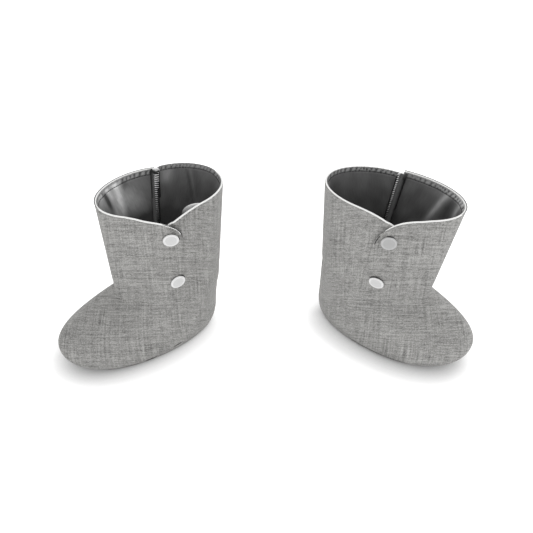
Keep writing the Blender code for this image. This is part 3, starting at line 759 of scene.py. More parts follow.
def cloth_shell(cover, part, outer, inner, cut, finish, closed=False, marks=None):
    """Closed cloth wall between an outer and an inner grid. Each column is a loop: up the outer
    face, over a rounded top edge, down the inner face and round the bottom edge. A panel's two
    side edges are closed by a rounded strip, and a ring's last column meets its first."""
    rows, columns = outer.shape[:2]
    middle = (outer + inner) / 2.0
    bulge = np.linalg.norm(outer - inner, axis=-1, keepdims=True) * EDGE_ROUND
    over_top = middle[-1:] + unit(middle[-1:] - middle[-2:-1]) * bulge[-1:]
    under_foot = middle[:1] + unit(middle[:1] - middle[1:2]) * bulge[:1]
    loop = np.concatenate((outer, over_top, inner[::-1], under_foot))
    if marks is not None:
        cut = np.concatenate((cut, marks), axis=-1)
    spread = np.concatenate((cut, cut[-1:], cut[::-1], cut[:1]))
    around = len(loop)
    row, column = grid_corners(around + 1, columns + (1 if closed else 0))
    faces = (row % around) * columns + column % columns
    corners = spread[row % around, column]
    points = loop.reshape(-1, 3)
    if not closed:
        strips = [faces]
        places = [corners]
        for edge, beside in ((0, 1), (columns - 1, columns - 2)):
            push = unit(middle[:, edge] - middle[:, beside]) * bulge[:, edge]
            side = len(points) + np.arange(rows)
            points = np.concatenate((points, middle[:, edge] + push))
            front = np.arange(rows) * columns + edge
            back = (around - 2 - np.arange(rows)) * columns + edge
            top = rows * columns + edge
            foot = (around - 1) * columns + edge
            strips.append(np.stack((front[:-1], front[1:], side[1:], side[:-1]), axis=1))
            strips.append(np.stack((side[:-1], side[1:], back[1:], back[:-1]), axis=1))
            strips.append(np.array([[front[-1], top, back[-1], side[-1]],
                                    [front[0], side[0], back[0], foot]]))
            low, high = cut[:-1, edge], cut[1:, edge]
            places.extend([np.stack((low, high, high, low), axis=1)] * 2)
            places.append(np.stack((cut[[-1, 0], edge],) * 4, axis=1))
        faces = np.concatenate(strips)
        corners = np.concatenate(places)
    extra = corners[..., 2:] if marks is not None else None
    name = cover["name"] + "_" + part
    add_mesh(name + "_cloth", points, faces.tolist(), corners[..., :2], finish, (name,), extra)


def circle(turn, across, lift):
    """Points of a circle of radius one from its turns and its two axes."""
    return np.cos(turn) * across + np.sin(turn) * lift


def circle_turns(sides):
    """Turns of a circle's points, evenly round it."""
    return np.linspace(0.0, math.tau, sides, endpoint=False)


def ring_faces(rings, sides):
    """Faces of a tube of rings, with both ends closed."""
    row, column = grid_corners(rings, sides + 1)
    last = (rings - 1) * sides
    ends = [list(range(sides))[::-1], [last + side for side in range(sides)]]
    return (row * sides + column % sides).tolist() + ends


def tube(name, path, normals, radii, sides, finish, nodes=()):
    """Round cord along a path: at each point a circle across the path, in the plane of its normal
    and its side. Both ends are closed."""
    along = unit(np.gradient(path, axis=0))
    across = unit(np.cross(along, normals))
    lift = np.cross(across, along)
    ring = circle(circle_turns(sides)[None, :, None], across[:, None], lift[:, None])
    points = path[:, None] + ring * np.asarray(radii)[:, None, None]
    row, column = grid_corners(len(path), sides + 1)
    spread = np.linspace(0.0, math.tau, sides + 1) * np.max(radii)
    flat = np.stack(np.broadcast_arrays(walked(path, 0)[:, None], spread[None, :]), axis=-1)
    corners = np.concatenate((flat[row, column].reshape(-1, 2), flat[0, :sides], flat[-1, :sides]))
    add_mesh(name, points.reshape(-1, 3), ring_faces(len(path), sides), corners, finish, nodes)


def stitches(name, path, normals, finish):
    """Row of separate stitches along a path, from the one pitch and length of a stitch."""
    total = walked(path, 0)
    share = np.linspace(0.0, 1.0, STITCH_RINGS)
    spots = (np.arange(int(total[-1] / STITCH_PITCH))[:, None] + STITCH_START) * STITCH_PITCH
    spots = spots + share * STITCH_LENGTH
    centre, lift = (
        np.stack([np.interp(spots, total, field[:, axis]) for axis in range(3)], axis=-1)
        for field in (path, normals))
    thread_bits(name, centre, unit(lift), share, STITCH_RADIUS, finish)


def thread_bits(name, centre, lift, share, radius, finish):
    """Many short threads as one mesh, from their centre lines and the cloth's normals. Each starts
    and ends in the cloth and arches over it: its height is a half sine of its length."""
    count, rings = centre.shape[:2]
    sides = STITCH_SIDES
    arch = np.sin(math.pi * share)
    centre = centre + lift * (arch[None, :, None] * ARCH_RISE - ARCH_SUNK) * radius
    along = unit(np.gradient(centre, axis=1))
    across = unit(np.cross(along, lift))
    turn = circle_turns(sides)[None, None, :, None]
    ring = circle(turn, across[:, :, None], np.cross(across, along)[:, :, None])
    points = centre[:, :, None] + ring * radius * mix(ARCH_END, 1.0, arch)[None, :, None, None]
    faces = [[corner + bit * rings * sides for corner in face]
             for bit in range(count) for face in ring_faces(rings, sides)]
    add_mesh(name, points.reshape(-1, 3), faces, None, finish)


def turned_disc(name, profile, spot, normal, finish, nodes):
    """Turned piece: a profile of radius and height pairs carried round the normal at a spot."""
    sides = DISC_SIDES
    across = unit(np.cross(normal, (0.0, 0.0, 1.0)))
    radius, height = np.array(profile[1:-1]).T
    ring = circle(circle_turns(sides)[:, None], across, np.cross(normal, across))
    points = spot + radius[:, None, None] * ring + height[:, None, None] * normal
    poles = np.stack((spot + profile[0][1] * normal, spot + profile[-1][1] * normal))
    rows, first = len(radius), len(radius) * sides
    row, column = grid_corners(rows, sides + 1)
    faces = (row * sides + column % sides).tolist()
    for side in range(sides):
        beside = (side + 1) % sides
        faces.append([first, side, beside])
        faces.append([first + 1, (rows - 1) * sides + beside, (rows - 1) * sides + side])
    places = np.broadcast_arrays(radius[:, None], np.linspace(0.0, math.tau, sides + 1))
    places = np.stack(places, axis=-1)[row, column].reshape(-1, 2)
    tips = np.tile(((0.0, 0.0), (radius[0], 0.0), (radius[0], 0.0),
                    (0.0, 0.0), (radius[-1], 0.0), (radius[-1], 0.0)), (sides, 1))
    points = np.concatenate((points.reshape(-1, 3), poles))
    add_mesh(name, points, faces, np.concatenate((places, tips)), finish, nodes)


class Signal:
    """Output of a material's node. Arithmetic on it adds Math nodes."""

    def __init__(self, finish, socket):
        self.finish = finish
        self.socket = socket

    def math(self, operation, *values):
        """Math node on some values, or on this signal alone."""
        inputs = dict(enumerate(values or (self,)))
        return self.finish.node("ShaderNodeMath", {"operation": operation}, inputs)

    def __add__(self, other):
        return self.math("ADD", self, other)

    def __sub__(self, other):
        return self.math("SUBTRACT", self, other)

    def __rsub__(self, other):
        return self.math("SUBTRACT", other, self)

    def __mul__(self, other):
        return self.math("MULTIPLY", self, other)

    __radd__ = __add__
    __rmul__ = __mul__

    def clamped(self):
        """Value kept between 0 and 1."""
        return self.math("MINIMUM", self.math("MAXIMUM", self, 0.0), 1.0)


class Finish:
    """Material of one principled shader, whose plain values are set on its own sockets."""

    def __init__(self, name, **plain):
        self.material = bpy.data.materials.new(name)
        self.material.use_nodes = True
        self.tree = self.material.node_tree
        self.shader = self.tree.nodes["Principled BSDF"]
        for socket, value in plain.items():
            self.shader.inputs[socket.replace("_", " ")].default_value = value

    def node(self, kind, settings, inputs, output=0):
        """Add a node: its settings first, then the values or links of its sockets."""
        item = self.tree.nodes.new(kind)
        for setting, value in settings.items():
            setattr(item, setting, value)
        for socket, value in inputs.items():
            if isinstance(value, Signal):
                self.tree.links.new(value.socket, item.inputs[socket])
            else:
                item.inputs[socket].default_value = value
        return Signal(self, item.outputs[output])

    def feed(self, socket, signal):
        """Link a signal to one of the shader's sockets."""
        self.tree.links.new(signal.socket, self.shader.inputs[socket])

    def parts(self, place, *axes):
        """Chosen parts of a place, in millimetres."""
        metres = (self.node("ShaderNodeSeparateXYZ", {}, {0: place}, axis) for axis in axes)
        return [part * (1.0 / MM) for part in metres]

    def cut(self, layout="cut"):
        """Place on the flat cut in millimetres, across the piece and up it, or its two marks."""
        return self.parts(self.node("ShaderNodeUVMap", {"uv_map": layout}, {}), 0, 1)

    def grain_lines(self):
        """Place along the weft, along the warp and through the cloth, in millimetres. The pieces
        are cut so that the weft runs level on the side with the closure, as the eye meets it."""
        x, y, z = self.parts(self.node("ShaderNodeTexCoord", {}, {}, 3), 0, 1, 2)
        cosine, sine = math.cos(math.radians(GRAIN_TURN)), math.sin(math.radians(GRAIN_TURN))
        return x, z * cosine + y * sine, y * cosine - z * sine

    def noise(self, x, y, detail=1.0, seed=0.0):
        """Soft noise from -0.5 to 0.5, one lump for each unit of x and y."""
        place = self.node("ShaderNodeCombineXYZ", {}, {0: x, 1: y, 2: seed})
        inputs = {"Vector": place, "Scale": 1.0, "Detail": detail, "Roughness": 0.5}
        return self.node("ShaderNodeTexNoise", {"noise_dimensions": "3D"}, inputs) - 0.5

    def blend(self, share, low, high):
        """Colour between two colours."""
        inputs = {0: share, 6: (*low, 1.0), 7: (*high, 1.0)}
        return self.node("ShaderNodeMix", {"data_type": "RGBA"}, inputs, 2)

    def dress(self, tone, dark, light, relief=None, depth=0.0):
        """Colour the shader from dark to light by a tone, and give it a relief whose full step is a
        depth in millimetres."""
        self.feed("Base Color", self.blend(tone, dark, light))
        if relief:
            inputs = {"Strength": 1.0, "Distance": depth * MM, "Height": relief}
            self.feed("Normal", self.node("ShaderNodeBump", {}, inputs))
        return self.material


def weave(across, up):
    """Height of a plain weave: weft and warp yarns in turn lie on top."""
    warp, weft = ((place * (math.pi / YARN_PITCH)).math("SINE") for place in (across, up))
    return warp * weft * 0.5 + 0.5


def yarn_tones(finish, x, level, deep, slub, seed):
    """Tone and relief of the yarns: light and dark fibres mix in grains about a yarn wide, and
    uneven yarns draw faint streaks along the weft and weaker ones along the warp."""
    grain, dashes, weft, warp, patch, cloud = (
        finish.noise(x * along, level * across, detail, deep * through + (seed + shift))
        for along, across, through, detail, shift in YARN_NOISES)
    streaks = (dashes * 0.8 + weft * 0.75 + warp * (patch * 2.6 + 0.6)) * slub
    return grain * 1.5 + streaks + cloud * 0.2 + 0.5, grain * 0.9 + dashes * 0.7


def melange(name, dark, light, slub, seed, marked=True):
    """Grey melange plain weave, matte. The yarns run along the flat cut. Where the marks say that
    the cloth faces the side with the closures, they run level as the eye meets it."""
    finish = Finish(name, Roughness=0.92, Specular_IOR_Level=0.2,
                    Sheen_Weight=0.06, Sheen_Roughness=0.5)
    across, up = finish.cut()
    tone, relief = yarn_tones(finish, across, up, across * 0.0, slub, seed)
    if marked:
        share = finish.cut("marks")[0]
        front_tone, front_relief = yarn_tones(finish, *finish.grain_lines(), slub, seed)
        tone, relief = mix(tone, front_tone, share), mix(relief, front_relief, share)
    return finish.dress(tone, dark, light, weave(across, up) * 0.5 + relief, 0.07)


def shaded_facing(name, dark, light):
    """Smooth facing of the inner tab, painted darker as shade low down behind the back panel, and
    paler towards its upper corner by the edge, as painted light.
    """
    finish = Finish(name, Roughness=0.6, Specular_IOR_Level=0.35,
                    Sheen_Weight=0.1, Sheen_Roughness=0.4)
    across, up = finish.cut()
    fibres = finish.noise(across * 1.2, up * 1.2, 2.0, 5.0)
    pale = across * (1.0 / TAB_LIGHT_SPREAD) + (up - TAB_HEIGHT + TAB_FALL) * (1.0 / TAB_LIGHT_SPREAD)
    return finish.dress(pale + fibres * 0.25 + 0.1, dark, light, fibres, 0.05)


def satin(name, dark, light, seed):
    """Dark satin: long floats drawn across, with a soft glossy surface. Its marks are the distance
    below the edge and the painted light: sheen painted paler on its folds and puckers, and shade
    painted darker between them and along the stitch line."""
    finish = Finish(name, Roughness=0.42, Specular_IOR_Level=0.55,
                    Sheen_Weight=0.15, Sheen_Roughness=0.4)
    across, up = finish.cut()
    below, painted_light = finish.cut("marks")
    floats = finish.noise(across * 1.6, up * 0.12, 2.0, seed)
    cloud = finish.noise(across * 0.07, up * 0.05, 1.0, seed + 5.0)
    uneven = finish.noise(across * 0.5, up * 0.16, 2.0, seed + 9.0)
    # The hem band is painted paler, as light on the band where it rolls up at the top edge
    hem = 1.0 - ((below - HEM_DEPTH) * 2.0).clamped()
    tone = floats * 0.12 + cloud * 0.25 + painted_light * (uneven * 0.8 + 0.85)
    # Painted shade: the satin grows darker further down inside the cover
    tone = tone + hem * 0.15 - below * (1.0 / SATIN_FADE) + 0.155
    finish.feed("Roughness", floats * 0.12 + cloud * 0.1 + 0.42)
    return finish.dress(tone * SATIN_TONE, dark, light, floats + cloud * 0.4, 0.03)


def cord(name, dark, light, pitch):
    """Corded edge: plies wound round the piping at a slant."""
    finish = Finish(name, Roughness=0.75, Sheen_Weight=0.1, Specular_IOR_Level=0.3)
    along, turn = finish.cut()
    plies = ((along * 0.9 + turn) * (math.tau / pitch)).math("SINE") * 0.5 + 0.5
    fuzz = finish.noise(along * 2.5, turn * 2.5, 2.0, 3.0)
    return finish.dress(plies * 0.6 + fuzz * 0.5 + 0.3, dark, light, plies + fuzz * 0.5, 0.1)


def serged(name, dark, light):
    """Seam allowance between its overlock threads: dark cut cloth, with a painted highlight along its
    bulging middle and painted shade towards its edges.
    """
    finish = Finish(name, Roughness=0.7, Specular_IOR_Level=0.3)
    across, up = finish.cut()
    fibres = finish.noise(across * 1.8, up * 0.8, 2.0, 9.0)
    middle = (across - STRIP_MIDDLE) * (1.0 / STRIP_HIGHLIGHT_SPREAD)
    return finish.dress((1.0 - middle * middle) * 0.7 + fibres * 0.7, dark, light, fibres, 0.12)


def thread(name, dark, light, levels=None):
    """Sewing thread, with a little of its own unevenness. Between two levels it turns paler from
    the lower one up, as painted shade that darkens it further down inside the cover."""
    finish = Finish(name, Roughness=0.6, Specular_IOR_Level=0.35)
    place = finish.node("ShaderNodeTexCoord", {}, {}, 3)
    inputs = {"Vector": place, "Scale": 900.0, "Detail": 1.0}
    uneven = tone = finish.node("ShaderNodeTexNoise", {}, inputs)
    if levels:
        height = finish.parts(place, 2)[0] - levels[0]
        tone = height * (1.0 / (levels[1] - levels[0])) * (uneven * 0.8 + 0.5)
    return finish.dress(tone, dark, light, uneven, 0.03)


def moulded(name, dark, light):
    """Moulded plastic of the snaps, smooth and slightly glossy, with a painted highlight that pales
    its rim and a soft painted diagonal reflection across it.
    """
    finish = Finish(name, Roughness=0.3, Specular_IOR_Level=0.4,
                    Coat_Weight=0.1, Coat_Roughness=0.15)
    radius, turn = finish.cut()
    scuffs = finish.noise(radius * 0.5, turn * 0.5, 3.0, 4.0)
    rim = ((radius - CAP_FLAT) * 0.9).clamped()
    low = (turn * (1.0 / MM) + CAP_REFLECTION_TURN).math("SINE") * radius
    painted_reflection = ((low - 1.0) * 1.6).clamped()
    finish.feed("Roughness", scuffs * 0.12 + 0.3)
    return finish.dress(rim * 0.9 + painted_reflection * 0.22 + scuffs * 0.12, dark, light)


def pale_floor(name):
    """White floor that glows with its own light, whose colour and glow are darkened close to the
    covers by ambient occlusion, as painted shade.
    """
    finish = Finish(name, Roughness=0.9, Specular_IOR_Level=0.0, Emission_Strength=FLOOR_GLOW)
    sides = []
    for towards in (SHADE_LEAN, SIDE_LEAN):
        lean = finish.node("ShaderNodeCombineXYZ", {}, dict(enumerate(towards)))
        inputs = {"Distance": SHADE_REACH * MM, "Normal": lean}
        sides.append(finish.node("ShaderNodeAmbientOcclusion", {"samples": 8}, inputs, 1))
    painted_shade = sides[0].math("MINIMUM", *sides)
    finish.feed("Emission Color", finish.blend(painted_shade, (0.25, 0.25, 0.25), (1.0, 1.0, 1.0)))
    return finish.dress(painted_shade, (0.45, 0.45, 0.45), (0.95, 0.95, 0.95))


def hem_pucker(cover, angle, below):
    """Uneven waves of the hem between the edge and its stitch line: a sine of the distance round
    the edge, whose phase two slower sines shift. Its crests are broad and low, and its troughs, a
    power of it, are narrow. They slant along the edge."""
    walk = girth(cover, angle, cover["rim_height"]) + cover["side"] * PUCKER_SLANT * below
    phase = walk / HEM_PUCKER_PITCH
    for size, pitch, start in PUCKER_DRIFTS:
        phase = phase + size * np.sin(walk / pitch + start)
    uneven = np.sin(walk / PUCKER_UNEVEN_PITCH + cover["side"])
    size = 1.0 - PUCKER_UNEVEN + PUCKER_UNEVEN * uneven
    window = ease(below / PUCKER_START) * ease((HEM_DEPTH + PUCKER_OVERRUN - below) / HEM_DEPTH)
    wave = 0.5 + 0.5 * np.sin(math.tau * phase)
    trough = PUCKER_TROUGH * (1.0 - wave) ** PUCKER_SHARPNESS
    return size * (PUCKER_CREST * wave - trough) * window


def hem_rise(cover, angle):
    """How far the back lining's hem rolls up over the piping, on the wall away from the closure."""
    start = ease((angle - HEM_RISE_START) / HEM_RISE_SPREAD)
    end = ease((cover["seam_angle"] - angle) / HEM_RISE_END)
    return cover["hem_rise"] * start * end


def hem_depth(cover, angle, below):
    """How far the lining lies inside its plain depth near the top edge: it rolls out towards the
    edge, puckers between the edge and the stitch line, and dips in a groove at the stitches."""
    groove = HEM_GROOVE * bell((below - HEM_DEPTH) / HEM_GROOVE_SPREAD)
    roll = HEM_ROLL * (1.0 - ease(below / HEM_DEPTH))
    return HEM_PUCKER * hem_pucker(cover, angle, below) - groove - roll


def facing_marks(cover, angles, heights):
    """How far the cloth faces forward and up, along the grain's turn, from 0 to 1, and an empty
    second mark."""
    normal = outward(cover, angles, heights)
    turn = math.radians(GRAIN_TURN)
    share = normal[..., 2] * math.sin(turn) - normal[..., 1] * math.cos(turn)
    share = ease((share - FACING_START) / FACING_SPREAD)
    return np.stack((share, np.zeros_like(share)), axis=-1)


def lining_marks(cover, angles, heights):
    """Distance below the edge, and the painted light there: sheen and shade painted on the folds
    and the hem's puckers, and shade painted along the stitch line.
    """
    below = heights[-1:] - heights
    painted_light = painted_sheen_and_shade(cover, angles, heights) + PUCKER_PAINTED_LIGHT * hem_pucker(cover, angles, below)
    painted_light = painted_light - STITCH_PAINTED_SHADE * bell((below - HEM_DEPTH) / HEM_GROOVE_SPREAD)
    return np.stack((below, painted_light), axis=-1)


def two_faces(cover, angles, heights, depth, wall):
    """Outer and inner face of a wall of cloth, whose outer face lies at a depth inside the form."""
    return [layer(cover, angles, heights, inward) for inward in (depth, depth + wall)]


def sheet_cut(outer):
    """Place of a small piece's points on its flat cut: distances along its rows and columns."""
    return np.stack((walked(outer, 1), walked(outer, 0)), axis=-1)


def panel(cover, part, angles, heights, depth, wall, finish):
    """Leg panel or its lining. Its flat cut is the distance round the leg, and the height."""
    marks = (lining_marks if "lining" in part else facing_marks)(cover, angles, heights)
    cut = np.stack((girth(cover, angles, heights), heights), axis=-1)
    faces = two_faces(cover, angles, heights, depth, wall)
    cloth_shell(cover, part, *faces, cut, finish, marks=marks)


def painted_sheen_and_shade(cover, angle, height):
    """Painted sheen and shade of the satin: how much its colour is made paler on the crests of its
    folds, or darker between them, as long soft streaks and patches, each a bell curve across it and
    along it."""
    below = cover["rim_height"] - height
    under_hem = ease((below - EDGE_ROOM - HEM_DEPTH + SHINE_START) / SHINE_RAMP)
    painted_light = np.zeros(np.broadcast(angle, height).shape)
    for streak in rows_of(STREAKS, cover):
        down = below - streak["below"]
        away = round_from(angle, streak["angle"] + streak["drift"] * down)
        bright = streak["strength"] * bell(away / streak["spread"]) * bell(down / streak["reach"])
        painted_light = painted_light + (bright * under_hem if streak["below"] > HEM_DEPTH else bright)
    return painted_light


def make_legs(cover, finishes):
    """Front and back leg panels, and the linings that follow them."""
    cloth, satin_side = finishes[cover["name"] + "_cloth"], finishes["satin"]
    front, back = panel_grid(cover, "flap"), panel_grid(cover, "under")
    raised, passed = flap_raise(cover, *front), under_depth(cover, *back)
    share = edge_share(cover, *front)
    wall = OUTER_WALL * mix(EDGE_WALL_SHARE, 1.0, share)
    panel(cover, "leg_front", *front, -raised, wall, cloth)
    panel(cover, "leg_back", *back, passed, OUTER_WALL, cloth)
    angles, heights = front
    depth = wall + mix(EDGE_GAP, SEAM_GAP, share) - raised + fold_depth(cover, *front)
    depth = depth + hem_depth(cover, angles, heights[-1:] - heights) * share
    wall = LINING_WALL * mix(EDGE_LINING_SHARE, 1.0, share)
    panel(cover, "leg_front_lining", *front, depth, wall, satin_side)
    angles, heights = back
    rise = ease((heights - heights[-1:]) / HEM_RISE_REACH + 1.0)
    heights = heights + hem_rise(cover, angles) * rise
    depth = OUTER_WALL + SEAM_GAP + passed + hem_depth(cover, angles, heights[-1:] - heights)
    panel(cover, "leg_back_lining", angles, heights, depth, LINING_WALL, satin_side)


def foot_heights(angles):
    """Heights of the foot's rows at each angle: round the tucked edge, over the instep to the
    ankle, and on to the ankle seam."""
    lowest = math.asin(TUCK_SHARE * (TUCK_HEIGHT - FOOT_LIFT) / TUCK_HEIGHT)
    arc = np.linspace(lowest, 0.0, TUCK_ROWS + 1)
    tuck = TUCK_HEIGHT * (1.0 - np.sin(arc) / TUCK_SHARE)
    rise = np.sin(np.linspace(0.0, math.pi / 2.0, INSTEP_ROWS + 1))[1:]
    instep = TUCK_HEIGHT + (ANKLE_HEIGHT - TUCK_HEIGHT) * rise
    fixed = np.concatenate((tuck, instep))[:, None] + np.zeros(len(angles))
    seam = seam_height(angles) - SEAM_OPEN / 2.0
    level = np.linspace(0.0, 1.0, UPPER_ROWS + 1)[1:, None]
    return np.vstack((fixed, mix(ANKLE_HEIGHT, seam, level)))


def foot_cut(points):
    """Place of the foot's points in its weave: distance round the row at the tucked edge's top from
    the closure side, and distance up the outer side."""
    closed = np.concatenate((points, points[:, :1]), axis=1)
    along = walked(closed[TUCK_ROWS:TUCK_ROWS + 1], 1)
    along = along - along[:, FOOT_COLUMNS // 2:FOOT_COLUMNS // 2 + 1]
    return np.stack(np.broadcast_arrays(along, walked(closed[:, :1], 0)), axis=-1)


def make_foot(cover, finishes):
    """Foot upper and its lining, the flat sole, and the insole inside."""
    angles = np.linspace(-90.0, 270.0, FOOT_COLUMNS, endpoint=False)
    heights = foot_heights(angles)
    faces = two_faces(cover, angles, heights, 0.0, OUTER_WALL)
    edge = faces[0][0]
    marks = facing_marks(cover, *np.broadcast_arrays(angles, heights))
    marks = np.concatenate((marks, marks[:, :1]), axis=1)
    cloth = finishes[cover["name"] + "_cloth"]
    cloth_shell(cover, "foot", *faces, foot_cut(faces[0]), cloth, True, marks)
    faces = two_faces(cover, angles, heights[LINING_ROWS_BARE:], OUTER_WALL + SEAM_GAP, LINING_WALL)
    cut = foot_cut(faces[0])
    # The foot lining counts as lying as far below the edge as the ankle seam, so the satin's painted
    # shade of depth darkens it
    marks = np.zeros_like(cut) + (cover["rim_height"] - SEAM_HEIGHT, 0.0)
    cloth_shell(cover, "foot_lining", *faces, cut, finishes["satin"], True, marks)
    make_sole(cover, "sole", edge, 0.0, SOLE_THICKNESS, finishes["sole"])
    make_sole(cover, "insole", edge, SOLE_THICKNESS + SEAM_GAP, INSOLE_THICKNESS, finishes["satin"])


def make_sole(cover, part, edge, low, thickness, finish):
    """Flat sole inside the foot's lower edge: rings from its outline in to the middle, on both
    faces, with a rounded rim."""
    along = np.roll(edge, -1, axis=0) - np.roll(edge, 1, axis=0)
    away = unit(np.stack((along[:, 1], -along[:, 0]), axis=1) * -cover["side"])
    outline = edge[:, :2] - away * SOLE_INSET
    middle = outline.mean(axis=0)
    plan = middle + (outline - middle) * np.array(SOLE_RINGS)[:, None, None]
    drop = np.zeros(plan.shape[:2] + (1,))
    drop[:len(SOLE_EDGE_DROPS), :, 0] = np.array(SOLE_EDGE_DROPS)[:, None]
    bottom = np.concatenate((plan, low + drop), axis=-1)
    top = np.concatenate((plan, low + thickness - drop), axis=-1)
    loop = np.concatenate((bottom[::-1], top))
    cut = np.concatenate((plan, plan[:, :1]), axis=1)
    places = np.concatenate((cut[::-1], cut))
    rows, columns = loop.shape[:2]
    row, column = grid_corners(rows, columns + 1)
    ends = places[0, :columns][::-1], places[-1, :columns]
    corners = np.concatenate((places[row, column].reshape(-1, 2), *ends))
    name = cover["name"] + "_" + part
    faces = ring_faces(rows, columns)
    add_mesh(name + "_cloth", loop.reshape(-1, 3), faces, corners, finish, (name,))


def top_cord(cover, part, angles, heights, depth, reach, radii, sides, finish, nodes=()):
    """Round cord along a panel's top edge: a reach outside it, within the cloth's form."""
    edge = layer(cover, angles, heights, depth)
    normal = outward(cover, angles, heights)
    rise = np.cross(normal, np.gradient(edge, axis=0))
    rise = unit(rise) * np.sign(rise[:, 2:3])
    tube(cover["name"] + "_" + part, edge + rise * reach, normal, radii, sides, finish, nodes)


def flap_edge_places(cover, kept):
    """Angles and heights along the kept part of the flap's top, drawn in towards its corner, the
    share of that, and how far the flap stands out there."""
    angles, tops = panel_top(cover, "flap")
    angles, heights = angles[kept], tops[kept] - EDGE_ROOM
    share = np.clip((angles - cover["flap_edge"]) / CORNER_WIDTH + 1.0, 0.0, 1.0) ** 2
    angles = angles - cover["corner_shift"] * share
    return angles, heights, share, flap_raise(cover, angles, heights)


def make_piping(cover, finishes):
    """Light piping along the top of the front panel and of the back panel. At the flap's corner it
    thins, and lies on the cloth."""
    inside = (OUTER_WALL + SEAM_GAP) * PIPING_DEPTH_SHARE
    angles, heights, share, raised = flap_edge_places(cover, slice(None, -cover["flap_bare"]))
    radii = np.full(len(angles), PIPING_RADIUS * PIPING_SPREAD)
    radii[-PIPING_THINNED:] *= np.linspace(1.0, PIPING_END, PIPING_THINNED)
    cords = [("front_piping", angles, heights, inside * (1.0 - share) - raised, radii)]
    angles, tops = panel_top(cover, "under")
    angles, heights = angles[BACK_BARE:], tops[BACK_BARE:] - EDGE_ROOM
    radii = np.full(len(angles), PIPING_RADIUS * PIPING_SPREAD)
    depth = inside + under_depth(cover, angles, heights)
    cords.append(("back_piping", angles, heights, depth, radii))
    for part, angles, heights, depth, radii in cords:
        top_cord(cover, part + "_cord", angles, heights, depth, SEAM_GAP + PIPING_RADIUS, radii,
                 CORD_SIDES, finishes["piping"], (cover["name"] + "_" + part,))


def make_edge_fold(cover, finishes):
    """Folded edge of the outer cloth, which stands up behind the front panel's piping where the
    panel turns away: a thin roll that fades where the panel comes round to the front. Its finish, a
    darker copy of the outer cloth, paints its shaded side."""
    angles, tops = panel_top(cover, "flap")
    share = facing_marks(cover, angles, tops - EDGE_ROOM)[:, 0]
    kept = share < 1.0
    radii = FOLD_RADIUS * (1.0 - FOLD_THINNING * share[kept])
    heights = tops[kept] - EDGE_ROOM
    top_cord(cover, "edge_fold", angles[kept], heights, FOLD_DEPTH, FOLD_REACH, radii,
             THREAD_SIDES, finishes["edge"])


def make_corner_shadow_line(cover, finishes):
    """Dark line beside the flap's corner: a thin tube that paints the shadow of its edge."""
    kept = slice(cover["thread_start"], cover["thread_end"])
    angles, heights, share, raised = flap_edge_places(cover, kept)
    radii = tapered(CORNER_SHADOW_RADIUS, len(angles), *CORNER_SHADOW_TAPER)
    top_cord(cover, "corner_thread", angles, heights, -raised - CORNER_SHADOW_LIFT, cover["thread_reach"],
             radii, THREAD_SIDES, finishes["dark_thread"])


def make_dark_edge_lines(cover, finishes):
    """Dark lines along the sole's edge, which paint the shadow where the upper meets the sole, and a
    faint dark line above the ankle seam.
    """
    for line in rows_of(DARK_EDGE_LINES, cover):
        angles = np.linspace(line["start"], line["end"], EDGE_LINE_STEPS)
        low = 0.0 if line["edge"] == "sole" else seam_height(angles)
        heights = low + line["above"] + np.zeros(len(angles))
        path = layer(cover, angles, heights, line["sunk"])
        radii = tapered(line["radius"], len(angles), *EDGE_LINE_TAPER)
        name = cover["name"] + "_" + line["edge"] + "_thread_" + line["mark"]
        normals = outward(cover, angles, heights)
        tube(name, path, normals, radii, STITCH_SIDES, finishes["dark_thread"])


def make_hem_stitches(cover, finishes):
    """Dark stitch line that holds the lining's turned-in hem."""
    for part, side in (("front", "flap"), ("back", "under")):
        angles, tops = panel_top(cover, side)
        heights = tops - EDGE_ROOM - HEM_DEPTH
        if side == "flap":
            passed = fold_depth(cover, angles, heights) - flap_raise(cover, angles, heights)
        else:
            heights = heights + hem_rise(cover, angles)
            passed = under_depth(cover, angles, heights)
        depth = INSIDE + passed + hem_depth(cover, angles, np.full(angles.shape, HEM_DEPTH))
        stitches(cover["name"] + "_" + part + "_hem_stitches", layer(cover, angles, heights, depth),
                 -outward(cover, angles, heights), finishes["hem_thread"])


def strip_angle(cover, across, heights):
    """Angle of a place on the seam strip, which drifts with the side seam."""
    middle = cover["seam_angle"] + seam_shift(cover, cover["seam_angle"], heights)
    middle = middle - cover["side"] * STRIP_ASIDE
    return middle + STRIP_HALF_ANGLE * across


def strip_point(cover, across, heights, behind=INSIDE + STRIP_CLEAR + STRIP_WALL):
    """Point on the inner face of the seam strip, or at another depth: across from -1 to 1 over its
    width, with a middle that bulges as a parabola."""
    depth = behind + STRIP_BULGE * (1.0 - across ** 2)
    return layer(cover, strip_angle(cover, across, heights), heights, depth)


def strip_normal(cover, across, heights):
    """Unit normal of the seam strip, away from the cloth."""
    return -outward(cover, strip_angle(cover, across, heights), heights)


